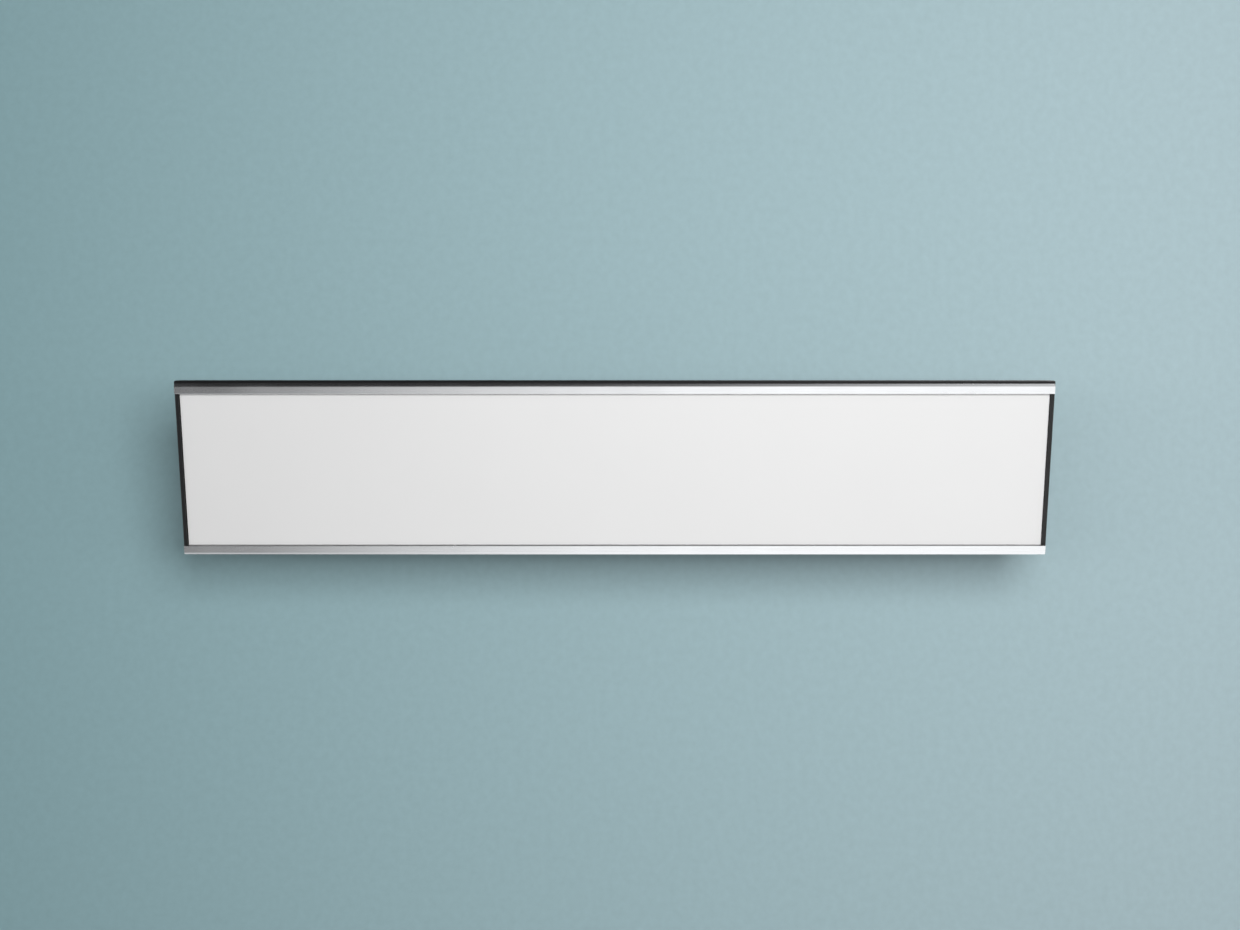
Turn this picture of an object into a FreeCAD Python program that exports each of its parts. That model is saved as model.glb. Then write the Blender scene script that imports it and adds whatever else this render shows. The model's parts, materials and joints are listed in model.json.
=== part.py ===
import FreeCAD, Part
import math
import os

from FreeCAD import Vector

# A slim electric patio heater that hangs on a wall and tilts on two brackets.
# Millimetres, +Z up. The wall is the plane y = 0 and the room lies toward -Y.
# The origin is the centre of the four wall holes.
# The heater is drawn upright in a panel frame: x along the panel, y the depth behind the
# face of the trims, z up the panel. hang() carries it to the tilt axis at its rest tilt.

# Body sizes
BODY_LENGTH = 940.0
FRONT_HEIGHT = 188.2
BODY_DEPTH = 62.0
END_PLATE = 3.6
HOUSING_WALL = 2.0
REAR_INSET = 25.0
REAR_RADIUS = 8.0

# Trims, glass and gasket
TRIM_HEIGHT = 10.4
TRIM_LIP = 1.0
TRIM_WALL = 2.5
TRIM_BACK = 1.5
TRIM_NOSE_RADIUS = 3.0
TRIM_EDGE_RADIUS = 0.6
GLASS_THICKNESS = 4.0
GASKET_WALL = 0.6
GASKET_FRONT = 3.4
GLASS_END_GAP = 0.4
TONGUE_NECK = 2.0
TONGUE_HEAD = 5.4
TONGUE_REACH = 2.2
TONGUE_THICKNESS = 2.0
SLIDE_CLEARANCE = 0.2

# Housing rim that carries the trims, and the screw ports for the end plates
RIM_RISE = 1.8
RIM_DEPTH = 8.0
RIM_HEIGHT = 12.0
RIM_FRONT_RADIUS = 1.0
RIM_BACK_RADIUS = 2.0
RIM_INNER_RADIUS = 0.5
PORT_RADIUS = 4.2
PORT_SINK = 0.8
PORT_BORE = 1.7

# End plates
PLATE_FRONT = 2.0
PLATE_CLEARANCE = 0.15
PLATE_EDGE_RADIUS = 0.6
PLATE_TONGUE_ROOT = 1.0
BAND_RISE = 3.0
BAND_STEP = 2.0
SCREW_CORE = 1.65
SCREW_HOLE = 2.2
SCREW_LENGTH = 18.0
COUNTERSINK_RADIUS = 4.0
COUNTERSINK_DEPTH = 2.2

# Vent slots in the sloping walls
VENT_COUNT = 20
VENT_LENGTH = 26.0
VENT_WIDTH = 3.6
VENT_END_GAP = 73.0
VENT_SHIFT = 3.5
VENT_ROUNDING = 0.49

# Heating elements
ELEMENT_SPACING = 76.0
TUBE_RADIUS = 7.0
TUBE_WALL = 1.0
RIBBON_WIDTH = 8.0
RIBBON_THICKNESS = 0.6
CAP_RADIUS = 10.0
CAP_FLANGE_RADIUS = 13.0
CAP_FLANGE = 3.0
CAP_SOCKET = 12.0
CAP_OUTSIDE = 14.0
CAP_CLEARANCE = 0.1
PIN_RADIUS = 1.5
PIN_INSIDE = 6.0
PIN_OUTSIDE = 6.0
CLIP_WALL = 1.5
CLIP_WIDTH = 5.0
CLIP_OFFSET = 150.0

# Element supports, bus bars, reflector and insulation
SUPPORT_INSET = 28.0
SUPPORT_PLATE = 2.0
SUPPORT_FOOT = 16.0
SUPPORT_REACH = 17.0
SUPPORT_RADIUS = 3.0
SUPPORT_SCREW_SPACING = 40.0
BUS_WIDTH = 8.0
BUS_THICKNESS = 1.2
BUS_OVERHANG = 6.0
BUS_NUT_FLATS = 7.0
BUS_NUT_HEIGHT = 3.0
TROUGH_RADIUS = 18.0
REFLECTOR_SHEET = 0.8
TROUGH_GAP = 1.2
RIDGE_RISE = 12.0
WING_RISE = 16.0
WING_GAP = 5.0
INSULATION = 8.0
INSULATION_MARGIN = 9.0
BOARD_CLEARANCE = 1.0

# Rear rails
RAIL_LENGTH = 300.0
RAIL_HEIGHT = 28.0
RAIL_DEPTH = 10.0
RAIL_WALL = 2.0
RAIL_SLOT = 8.5
RAIL_EDGE_RADIUS = 1.0
RAIL_SHIFT = 2.5
RAIL_RIVET_COUNT = 4
RAIL_RIVET_INSET = 15.0
RIVET_RADIUS = 2.4
RIVET_HEAD_RADIUS = 4.2
RIVET_HEAD = 1.4
RIVET_TAIL_RADIUS = 3.6
RIVET_TAIL = 2.0
RIVET_CLEARANCE = 0.1

# Terminal box
BOX_LENGTH = 150.0
BOX_HEIGHT = 80.0
BOX_RAISE = 15.0
BOX_DEPTH = 26.0
BOX_WALL = 1.5
BOX_RADIUS = 6.0
COVER_THICKNESS = 2.0
COVER_SCREW_INSET = 9.0
COVER_BOSS_RADIUS = 4.0
COVER_SCREW_HEAD_RADIUS = 3.5
COVER_SCREW_HEAD = 2.4
COVER_SCREW_LENGTH = 12.0
BOX_RIVET_INSET = 20.0
GROMMET_BORE = 5.0
GROMMET_NECK = 7.0
GROMMET_FLANGE_RADIUS = 9.5
GROMMET_FLANGE = 1.5
BLOCK_WIDTH = 22.0
BLOCK_HEIGHT = 16.0
BLOCK_INSET = 46.0
POLE_PITCH = 14.0
POLE_BORE = 2.6
POLE_RADIUS = 2.5
POLE_SCREW_RADIUS = 2.0
POLE_RECESS = 1.0
CUTOUT_INSET = 30.0
CUTOUT_RADIUS = 8.0
CUTOUT_HEIGHT = 6.0
TAB_SPACING = 10.0
TAB_THICKNESS = 0.8
TAB_WIDTH = 6.3
TAB_HEIGHT = 6.5
TAB_ROOT = 1.0
EARTH_X = 12.0
EARTH_RADIUS = 2.5
EARTH_HEIGHT = 4.0

# Internal leads
LEAD_RADIUS = 1.5
LEAD_BEND = 4.5
LEAD_RISE = 8.5
LEAD_OFFSET = 2.5
LEAD_RETURN_INSET = 13.0
LEAD_END_GAP = 0.1

# Cable gland in the lower wall of the terminal box
GLAND_INSET = 23.0
GLAND_THREAD = 8.0
GLAND_BORE = 6.0
GLAND_INSIDE = 6.0
GLAND_HEX_FLATS = 21.0
GLAND_HEX = 5.0
GLAND_TAIL = 15.0
GLAND_NUT_FLATS = 20.0
GLAND_NUT = 13.0
GLAND_NUT_END = 2.0
GLAND_NUT_GAP = 1.0
GLAND_NUT_FLARE = 3.0
GLAND_NUT_TAPER = 1.5
GLAND_MOUTH = 5.2
GLAND_SEAL_BORE = 4.75
GLAND_SEAL = 11.0
LOCKNUT_FLATS = 20.0
LOCKNUT = 4.0
GLAND_CLEARANCE = 0.05

# Tilt brackets
BRACKET_SHEET = 3.0
BEND_OUTER = 4.0
BEND_INNER = 1.0
PIVOT_FROM_WALL = 42.0
PIVOT_BEHIND = 28.0
TILT_MIN = 0.0
TILT_REST = 12.0
TILT_MAX = 45.0
FOOT_WIDTH = 56.0
FOOT_HEIGHT = 48.0
EAR_BACK = 16.5
EAR_SHOULDER = 6.0
EAR_NECK = 13.0
EAR_NECK_HEIGHT = 10.0
EAR_RADIUS = 8.0
EAR_NECK_RADIUS = 9.0
WALL_PLATE_HEIGHT = 120.0
WALL_TAB_RADIUS = 8.0
WALL_HOLE_RADIUS = 3.5
WALL_HOLE_SPACING = 92.0
WALL_EAR_HALF = 34.0
WALL_EAR_NOSE = 14.0
WALL_EAR_TAPER = 28.0
WALL_EAR_SPARE = 1.0
BUSH_RADIUS = 6.0
BUSH_FLANGE_RADIUS = 9.0
BUSH_FLANGE = 1.0
EAR_GAP = 0.2
RUNNING_CLEARANCE = 0.05
PIVOT_RADIUS = 4.0
LOCK_RADIUS = 3.0
LOCK_ARM = 17.0
LOCK_ANGLE = 30.0
LOCK_SLOT_CLEARANCE = 0.3
LOCK_FACE_GAP = 0.3
T_BOLT_RADIUS = 3.0
T_BOLT_SPACING = 26.0
T_HEAD_WIDTH = 8.0
T_HEAD_HEIGHT = 22.0
T_HEAD_THICKNESS = 3.6
T_BOLT_HOLE = 3.3

# Hexagon hardware: flange radius, flange thickness, width over flats, hexagon height
M8_FLANGE = (8.5, 1.5, 13.0, 5.5)
M6_FLANGE = (7.0, 1.2, 10.0, 4.3)
BOLT_TIP = 1.5

# Panel datums
HALF_LENGTH = BODY_LENGTH / 2
INNER_HALF = HALF_LENGTH - END_PLATE
TRIM_TOP = FRONT_HEIGHT / 2
TRIM_INNER = TRIM_TOP - TRIM_HEIGHT
TRIM_MID = TRIM_TOP - TRIM_HEIGHT / 2
GLASS_FRONT = TRIM_LIP + GASKET_FRONT
GLASS_BACK = GLASS_FRONT + GLASS_THICKNESS
GROOVE_BACK = GLASS_BACK + GASKET_WALL
GROOVE_TOP = TRIM_TOP - TRIM_WALL
TRIM_DEPTH = GROOVE_BACK + TRIM_BACK
RIM_TOP = TRIM_TOP + RIM_RISE
RIM_BACK = TRIM_DEPTH + RIM_DEPTH
RIM_INNER = RIM_TOP - RIM_HEIGHT
REAR_HALF = RIM_TOP - REAR_INSET
REAR_INNER = BODY_DEPTH - HOUSING_WALL
SLOPE = REAR_INSET / (BODY_DEPTH - RIM_BACK)
SLANT = math.hypot(1, SLOPE)
GLASS_HALF = INNER_HALF - GLASS_END_GAP
VENT_DEPTH = (RIM_BACK + BODY_DEPTH) / 2 + VENT_SHIFT
VENT_RUN = 2 * (INNER_HALF - VENT_END_GAP) - VENT_LENGTH
VENT_PITCH = VENT_RUN / (VENT_COUNT - 1)
ELEMENT_HALF = ELEMENT_SPACING / 2
TROUGH_BACK = REAR_INNER - INSULATION - TROUGH_GAP - REFLECTOR_SHEET
ELEMENT_DEPTH = TROUGH_BACK - TROUGH_RADIUS
SUPPORT_FRONT = ELEMENT_DEPTH - SUPPORT_REACH
REFLECTOR_PEAK = ELEMENT_DEPTH - RIDGE_RISE
WING_FRONT = ELEMENT_DEPTH - WING_RISE
SUPPORT_X = INNER_HALF - SUPPORT_INSET
CAP_OUTER = SUPPORT_X + CAP_OUTSIDE
CAP_INNER = SUPPORT_X - SUPPORT_PLATE - CAP_SOCKET
TUBE_HALF = CAP_INNER + CAP_SOCKET
PIN_INNER = TUBE_HALF - PIN_INSIDE
RAIL_BACK = BODY_DEPTH + RAIL_DEPTH
BOX_FLOOR = BODY_DEPTH + BOX_WALL
BOX_BACK = BODY_DEPTH + BOX_DEPTH
BOX_BOTTOM = BOX_RAISE - BOX_HEIGHT / 2
BOX_TOP = BOX_RAISE + BOX_HEIGHT / 2
BOX_HALF = BOX_LENGTH / 2
BLOCK_X = BLOCK_INSET - BOX_HALF
CUTOUT_X = BOX_HALF - CUTOUT_INSET
LEAD_DEPTH = BOX_FLOOR + LEAD_RISE
LEAD_RETURN_X = BOX_HALF - LEAD_RETURN_INSET
GLAND_X = GLAND_INSET - BOX_HALF
GLAND_NUT_TOP = BOX_BOTTOM - GLAND_HEX - GLAND_NUT_GAP
GLAND_NUT_LOW = GLAND_NUT_TOP - GLAND_NUT
GLAND_DEPTH = (BOX_FLOOR + BOX_BACK) / 2
PIVOT_DEPTH = BODY_DEPTH + PIVOT_BEHIND
FOOT_BACK = RAIL_BACK + BRACKET_SHEET
FOOT_HALF = FOOT_WIDTH / 2
WALL_EAR_INNER = FOOT_HALF + BUSH_FLANGE + EAR_GAP
WALL_EAR_OUTER = WALL_EAR_INNER + BRACKET_SHEET
BRACKET_X = (HALF_LENGTH + BOX_HALF) / 2 - RAIL_SHIFT
LIVE_POLE = LEAD_OFFSET + 2 * POLE_PITCH
EARTH_POLE = LEAD_OFFSET + POLE_PITCH
NEUTRAL_POLE = LEAD_OFFSET

SIDES = (-1, 1)


# Shape helpers

def outline(corners, place):
    """Closed wire through (a, b, radius) corners; place(a, b) gives the point in space."""
    turns = []
    for i, (a, b, radius) in enumerate(corners):
        corner = Vector(a, b, 0)
        if radius == 0:
            turns.append((corner, None, corner))
            continue
        before = corners[i - 1]
        after = corners[(i + 1) % len(corners)]
        back = (Vector(before[0], before[1], 0) - corner).normalize()
        ahead = (Vector(after[0], after[1], 0) - corner).normalize()
        half = back.getAngle(ahead) / 2
        leg = radius / math.tan(half)
        middle = (back + ahead).normalize()
        crown = corner + middle * (radius / math.sin(half) - radius)
        turns.append((corner + back * leg, crown, corner + ahead * leg))
    edges = []
    for i, (start, crown, stop) in enumerate(turns):
        following = turns[(i + 1) % len(turns)][0]
        if crown:
            arc = [place(p.x, p.y) for p in (start, crown, stop)]
            edges.append(Part.Arc(*arc).toShape())
        if stop.distanceToPoint(following) > 1e-6:
            edges.append(Part.makeLine(place(stop.x, stop.y), place(following.x, following.y)))
    return Part.Wire(edges)


def prism_x(corners, x0, x1):
    """Outline of (y, z, radius) corners drawn out along x."""
    wire = outline(corners, lambda a, b: Vector(x0, a, b))
    return Part.Face(wire).extrude(Vector(x1 - x0, 0, 0))


def prism_y(corners, y0, y1):
    """Outline of (x, z, radius) corners drawn out along y."""
    wire = outline(corners, lambda a, b: Vector(a, y0, b))
    return Part.Face(wire).extrude(Vector(0, y1 - y0, 0))


def prism_z(corners, z0, z1):
    """Outline of (x, y, radius) corners drawn out along z."""
    wire = outline(corners, lambda a, b: Vector(a, b, z0))
    return Part.Face(wire).extrude(Vector(0, 0, z1 - z0))


def rectangle(a0, a1, b0, b1, radius=0.0):
    return [(a0, b0, radius), (a1, b0, radius), (a1, b1, radius), (a0, b1, radius)]


def box(x0, x1, y0, y1, z0, z1):
    return Part.makeBox(x1 - x0, y1 - y0, z1 - z0, Vector(x0, y0, z0))


def rod(start, stop, radius):
    run = stop - start
    return Part.makeCylinder(radius, run.Length, start, run)


def stepped(start, direction, steps):
    """One turned solid of (length, radius) steps laid end to end along a direction."""
    shape = None
    here = start
    for length, radius in steps:
        there = here + direction * length
        step = rod(here, there, radius)
        shape = step if shape is None else shape.fuse(step)
        here = there
    return shape.removeSplitter()


def hexagon(start, direction, flats, height):
    """Hexagonal prism with its first face centred on start."""
    radius = flats / 2 / math.cos(math.radians(30))
    points = []
    for turn in range(0, 360, 60):
        angle = math.radians(turn)
        points.append(Vector(radius * math.cos(angle), radius * math.sin(angle), 0))
    face = Part.Face(Part.makePolygon(points + points[:1]))
    shape = face.extrude(Vector(0, 0, height))
    shape.Placement = FreeCAD.Placement(start, FreeCAD.Rotation(Vector(0, 0, 1), direction))
    return shape


def flange_hex(start, direction, size):
    """Bolt head or nut blank: a round flange with a hexagon on it."""
    flange_radius, flange, flats, height = size
    disc = rod(start, start + direction * flange, flange_radius)
    return disc.fuse(hexagon(start + direction * flange, direction, flats, height))


def lead(points, radius, bend):
    """Round lead along straight runs joined by tangent arcs."""
    corners = [Vector(*p) for p in points]
    edges = []
    here = corners[0]
    for before, corner, after in zip(corners, corners[1:], corners[2:]):
        back = (before - corner).normalize()
        ahead = (after - corner).normalize()
        half = back.getAngle(ahead) / 2
        leg = bend / math.tan(half)
        middle = (back + ahead).normalize()
        crown = corner + middle * (bend / math.sin(half) - bend)
        edges.append(Part.makeLine(here, corner + back * leg))
        edges.append(Part.Arc(corner + back * leg, crown, corner + ahead * leg).toShape())
        here = corner + ahead * leg
    edges.append(Part.makeLine(here, corners[-1]))
    ring = Part.Wire(Part.makeCircle(radius, corners[0], corners[1] - corners[0]))
    return Part.Wire(edges).makePipeShell([ring], True, False)


def upside_down(shape):
    return shape.mirror(Vector(0, 0, 0), Vector(0, 0, 1))


def other_end(shape):
    return shape.mirror(Vector(0, 0, 0), Vector(1, 0, 0))


def hang(shape):
    """Carry a shape from the panel frame to the tilt axis, at the rest tilt."""
    placed = shape.copy()
    placed.translate(Vector(0, -PIVOT_DEPTH, 0))
    placed.rotate(Vector(0, 0, 0), Vector(1, 0, 0), TILT_REST)
    placed.translate(Vector(0, -PIVOT_FROM_WALL, 0))
    return placed


def wall_inside(y):
    """Height of the inner face of the sloping wall at depth y."""
    return RIM_TOP - (y - RIM_BACK) * SLOPE - HOUSING_WALL * SLANT


def screw_ports():
    """(y, z) of the four screw ports in the housing section."""
    reach = PORT_RADIUS - PORT_SINK
    places = []
    for y in (RIM_BACK + reach, REAR_INNER - reach):
        z = wall_inside(y) - reach * SLANT
        places += [(y, z), (y, -z)]
    return places


def rail_rivet_places():
    """(x, z) of the rivets that hold both rails."""
    run = RAIL_LENGTH - 2 * RAIL_RIVET_INSET
    pitch = run / (RAIL_RIVET_COUNT - 1)
    steps = [i * pitch - run / 2 for i in range(RAIL_RIVET_COUNT)]
    return [(side * BRACKET_X + step, 0.0) for side in SIDES for step in steps]


def box_rivet_places():
    """(x, z) of the rivets that hold the terminal box."""
    x = BOX_HALF - BOX_RIVET_INSET
    low = BOX_BOTTOM + BOX_RIVET_INSET / 2
    high = BOX_TOP - BOX_RIVET_INSET / 2
    return [(side * x, z) for side in SIDES for z in (low, high)]


def support_screw_places():
    """(x, z) of the screws through the rear panel into the element supports."""
    x = SUPPORT_X + SUPPORT_FOOT / 2
    z = SUPPORT_SCREW_SPACING / 2
    return [(side * x, sign * z) for side in SIDES for sign in SIDES]


def across(x, z, radius, y0, y1):
    """Cylinder along y at (x, z), for a hole or a pin."""
    return rod(Vector(x, y0, z), Vector(x, y1, z), radius)


# Front: trims, gaskets, glass

def top_trim():
    edge = TRIM_EDGE_RADIUS
    section = [
        (0, TRIM_INNER, edge),
        (0, TRIM_TOP, TRIM_NOSE_RADIUS),
        (TRIM_DEPTH, TRIM_TOP, edge),
        (TRIM_DEPTH, TRIM_INNER, edge),
        (GROOVE_BACK, TRIM_INNER, 0),
        (GROOVE_BACK, GROOVE_TOP, 0),
        (TRIM_LIP, GROOVE_TOP, 0),
        (TRIM_LIP, TRIM_INNER, 0),
    ]
    head = TRIM_DEPTH + TONGUE_REACH
    reach = INNER_HALF - SLIDE_CLEARANCE
    neck = box(-reach, reach, TRIM_DEPTH, head,
               TRIM_MID - TONGUE_NECK / 2, TRIM_MID + TONGUE_NECK / 2)
    bar = box(-reach, reach, head, head + TONGUE_THICKNESS,
              TRIM_MID - TONGUE_HEAD / 2, TRIM_MID + TONGUE_HEAD / 2)
    body = prism_x(section, -HALF_LENGTH, HALF_LENGTH)
    return body.fuse([neck, bar]).removeSplitter()


def top_gasket():
    section = [
        (TRIM_LIP, TRIM_INNER, 0),
        (TRIM_LIP, GROOVE_TOP, 0),
        (GROOVE_BACK, GROOVE_TOP, 0),
        (GROOVE_BACK, TRIM_INNER, 0),
        (GLASS_BACK, TRIM_INNER, 0),
        (GLASS_BACK, GROOVE_TOP - GASKET_WALL, 0),
        (GLASS_FRONT, GROOVE_TOP - GASKET_WALL, 0),
        (GLASS_FRONT, TRIM_INNER, 0),
    ]
    return prism_x(section, -GLASS_HALF, GLASS_HALF)


def front_glass():
    half = GROOVE_TOP - GASKET_WALL
    return box(-GLASS_HALF, GLASS_HALF, GLASS_FRONT, GLASS_BACK, -half, half)


# Housing and end plates

def housing_profile():
    """Outer corners of the housing section, from the upper rim round to the lower one."""
    upper = [
        (TRIM_DEPTH, RIM_TOP, RIM_FRONT_RADIUS),
        (RIM_BACK, RIM_TOP, RIM_BACK_RADIUS),
        (BODY_DEPTH, REAR_HALF, REAR_RADIUS),
    ]
    return upper + [(y, -z, r) for y, z, r in reversed(upper)]


def rear_housing():
    inner_radius = REAR_RADIUS - HOUSING_WALL
    inner = [
        (TRIM_DEPTH, -RIM_INNER, RIM_INNER_RADIUS),
        (RIM_BACK, -RIM_INNER, 0),
        (RIM_BACK, -wall_inside(RIM_BACK), 0),
        (REAR_INNER, -wall_inside(REAR_INNER), inner_radius),
    ]
    section = housing_profile() + inner + [(y, -z, r) for y, z, r in reversed(inner)]
    shape = prism_x(section, -INNER_HALF, INNER_HALF)
    ends = (Vector(-INNER_HALF, 0, 0), Vector(INNER_HALF, 0, 0))
    for y, z in screw_ports():
        centre = Vector(0, y, z)
        shape = shape.fuse(rod(ends[0] + centre, ends[1] + centre, PORT_RADIUS))
    cuts = [rod(ends[0] + Vector(0, y, z), ends[1] + Vector(0, y, z), PORT_BORE)
            for y, z in screw_ports()]
    cuts += trim_slots() + vent_slots()
    hole = RIVET_RADIUS + RIVET_CLEARANCE
    for x, z in rail_rivet_places() + box_rivet_places():
        cuts.append(across(x, z, hole, REAR_INNER, BODY_DEPTH))
    for x, z in support_screw_places():
        cuts.append(across(x, z, SCREW_HOLE, REAR_INNER, BODY_DEPTH))
    cuts.append(across(0, 0, GROMMET_NECK + RUNNING_CLEARANCE, REAR_INNER, BODY_DEPTH))
    return shape.cut(cuts).removeSplitter()


def trim_slots():
    """T-shaped slots in both rims that the trims slide into."""
    neck = TONGUE_NECK / 2 + SLIDE_CLEARANCE
    head = TONGUE_HEAD / 2 + SLIDE_CLEARANCE
    lip = TRIM_DEPTH + TONGUE_REACH - SLIDE_CLEARANCE
    back = TRIM_DEPTH + TONGUE_REACH + TONGUE_THICKNESS + SLIDE_CLEARANCE
    slots = []
    for middle in (TRIM_MID, -TRIM_MID):
        slots.append(box(-INNER_HALF, INNER_HALF, TRIM_DEPTH, lip, middle - neck, middle + neck))
        slots.append(box(-INNER_HALF, INNER_HALF, lip, back, middle - head, middle + head))
    return slots


def vent_slots():
    """Cutters for the vent slots through the upper and lower sloping walls."""
    outside = RIM_TOP - (VENT_DEPTH - RIM_BACK) * SLOPE + VENT_WIDTH
    inside = wall_inside(VENT_DEPTH) - VENT_WIDTH
    half = VENT_LENGTH / 2
    cutters = []
    for i in range(VENT_COUNT):
        x = i * VENT_PITCH - VENT_RUN / 2
        slot = rectangle(x - half, x + half, VENT_DEPTH - VENT_WIDTH / 2,
                         VENT_DEPTH + VENT_WIDTH / 2, VENT_WIDTH * VENT_ROUNDING)
        cutters.append(prism_z(slot, inside, outside))
        cutters.append(prism_z(slot, -outside, -inside))
    return cutters


def outer_edges_rounded(shape, x):
    """The shape with the edges of its outer face at x rounded."""
    rim = [edge for edge in shape.Edges
           if all(abs(corner.X - x) < 1e-6 for corner in edge.Vertexes)]
    return shape.makeFillet(PLATE_EDGE_RADIUS, rim)


def end_band():
    """Raised band that carries the rim of the housing round the right end plate."""
    outer = HALF_LENGTH + BAND_RISE
    band = prism_x(housing_profile(), INNER_HALF, outer)
    band = band.common(box(INNER_HALF, outer, TRIM_DEPTH, RIM_BACK - BAND_STEP, -RIM_TOP, RIM_TOP))
    return outer_edges_rounded(band, outer)


def right_end_plate():
    shape = prism_x(housing_profile(), INNER_HALF, HALF_LENGTH)
    between = TRIM_INNER - PLATE_CLEARANCE
    front = rectangle(PLATE_FRONT, TRIM_DEPTH, -between, between, 0)
    shape = shape.fuse(prism_x(front, INNER_HALF, HALF_LENGTH))
    for sign in SIDES:
        low, high = sorted((sign * (between - PLATE_TONGUE_ROOT), sign * (GROOVE_TOP - PLATE_CLEARANCE)))
        shape = shape.fuse(box(INNER_HALF, HALF_LENGTH, TRIM_LIP + PLATE_CLEARANCE,
                               GROOVE_BACK - PLATE_CLEARANCE, low, high))
    shape = outer_edges_rounded(shape.removeSplitter(), HALF_LENGTH)
    shape = shape.fuse(end_band()).removeSplitter()
    for y, z in screw_ports():
        inner = Vector(INNER_HALF, y, z)
        outer = Vector(HALF_LENGTH, y, z)
        sink = Part.makeCone(COUNTERSINK_RADIUS, SCREW_HOLE, COUNTERSINK_DEPTH, outer,
                             Vector(-1, 0, 0))
        shape = shape.cut([rod(inner, outer, SCREW_HOLE), sink])
    return shape


def end_plate_screws():
    """Countersunk screws, flush with the end plates."""
    screws = []
    for y, z in screw_ports():
        outer = Vector(HALF_LENGTH, y, z)
        head = Part.makeCone(COUNTERSINK_RADIUS - RUNNING_CLEARANCE, SCREW_CORE,
                             COUNTERSINK_DEPTH, outer, Vector(-1, 0, 0))
        shank = rod(outer, outer - Vector(SCREW_LENGTH, 0, 0), SCREW_CORE)
        screw = head.fuse(shank).removeSplitter()
        screws += [screw, other_end(screw)]
    return Part.makeCompound(screws)


# Heating: tubes, ribbons, caps, pins, clips

def element_line(x0, x1, radius, z):
    return rod(Vector(x0, ELEMENT_DEPTH, z), Vector(x1, ELEMENT_DEPTH, z), radius)


def quartz_tube(z):
    outer = element_line(-TUBE_HALF, TUBE_HALF, TUBE_RADIUS, z)
    return outer.cut(element_line(-TUBE_HALF, TUBE_HALF, TUBE_RADIUS - TUBE_WALL, z))


def heating_ribbon(z):
    half = RIBBON_THICKNESS / 2
    return box(-PIN_INNER, PIN_INNER, ELEMENT_DEPTH - half, ELEMENT_DEPTH + half,
               z - RIBBON_WIDTH / 2, z + RIBBON_WIDTH / 2)


def ceramic_cap(z):
    face = SUPPORT_X - SUPPORT_PLATE
    body = element_line(CAP_INNER, CAP_OUTER, CAP_RADIUS, z)
    flange = element_line(face - CAP_FLANGE, face, CAP_FLANGE_RADIUS, z)
    socket = element_line(CAP_INNER, TUBE_HALF, TUBE_RADIUS + CAP_CLEARANCE, z)
    bore = element_line(TUBE_HALF, CAP_OUTER, PIN_RADIUS + CAP_CLEARANCE, z)
    return body.fuse(flange).cut([socket, bore]).removeSplitter()


def both_ends_both_tubes(make):
    """Four like pieces: one at each end of both tubes."""
    pieces = []
    for z in (ELEMENT_HALF, -ELEMENT_HALF):
        pieces += [make(z), other_end(make(z))]
    return Part.makeCompound(pieces)


def element_pin(z):
    return element_line(PIN_INNER, CAP_OUTER + PIN_OUTSIDE, PIN_RADIUS, z)


def bus_nut(z):
    start = Vector(CAP_OUTER + BUS_THICKNESS, ELEMENT_DEPTH, z)
    nut = hexagon(start, Vector(1, 0, 0), BUS_NUT_FLATS, BUS_NUT_HEIGHT)
    return nut.cut(element_line(start.x, start.x + BUS_NUT_HEIGHT, PIN_RADIUS + CAP_CLEARANCE, z))


def tube_clips():
    """Rings round the tubes, each on a stem that stands in the reflector trough."""
    clips = []
    inner = TUBE_RADIUS + RUNNING_CLEARANCE
    for z in (ELEMENT_HALF, -ELEMENT_HALF):
        for side in SIDES:
            x0 = side * CLIP_OFFSET - CLIP_WIDTH / 2
            x1 = x0 + CLIP_WIDTH
            ring = element_line(x0, x1, inner + CLIP_WALL, z)
            stem = box(x0, x1, ELEMENT_DEPTH, ELEMENT_DEPTH + TROUGH_RADIUS,
                       z - CLIP_WALL, z + CLIP_WALL)
            stem = stem.common(element_line(x0, x1, TROUGH_RADIUS - RUNNING_CLEARANCE, z))
            clips.append(ring.fuse(stem).cut(element_line(x0, x1, inner, z)).removeSplitter())
    return Part.makeCompound(clips)


def right_element_support():
    """Folded plate that carries the tube ends, with a foot on the rear panel."""
    front = RIM_INNER - WING_GAP
    rear = wall_inside(REAR_INNER) - INSULATION_MARGIN
    section = [
        (SUPPORT_FRONT, -front, SUPPORT_RADIUS),
        (SUPPORT_FRONT, front, SUPPORT_RADIUS),
        (REAR_INNER - TROUGH_RADIUS, rear, SUPPORT_RADIUS),
        (REAR_INNER, rear, 0),
        (REAR_INNER, -rear, 0),
        (REAR_INNER - TROUGH_RADIUS, -rear, SUPPORT_RADIUS),
    ]
    plate = prism_x(section, SUPPORT_X - SUPPORT_PLATE, SUPPORT_X)
    half = SUPPORT_SCREW_SPACING
    foot = box(SUPPORT_X, SUPPORT_X + SUPPORT_FOOT, REAR_INNER - SUPPORT_PLATE, REAR_INNER,
               -half, half)
    cuts = [element_line(SUPPORT_X - SUPPORT_PLATE, SUPPORT_X, CAP_RADIUS + CAP_CLEARANCE, z)
            for z in (ELEMENT_HALF, -ELEMENT_HALF)]
    cuts.append(element_line(SUPPORT_X - SUPPORT_PLATE, SUPPORT_X, 2 * LEAD_OFFSET + LEAD_RADIUS, 0))
    for x, z in support_screw_places():
        cuts.append(across(x, z, SCREW_CORE + RUNNING_CLEARANCE, REAR_INNER - SUPPORT_PLATE,
                           REAR_INNER))
    return plate.fuse(foot).cut(cuts).removeSplitter()


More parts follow.
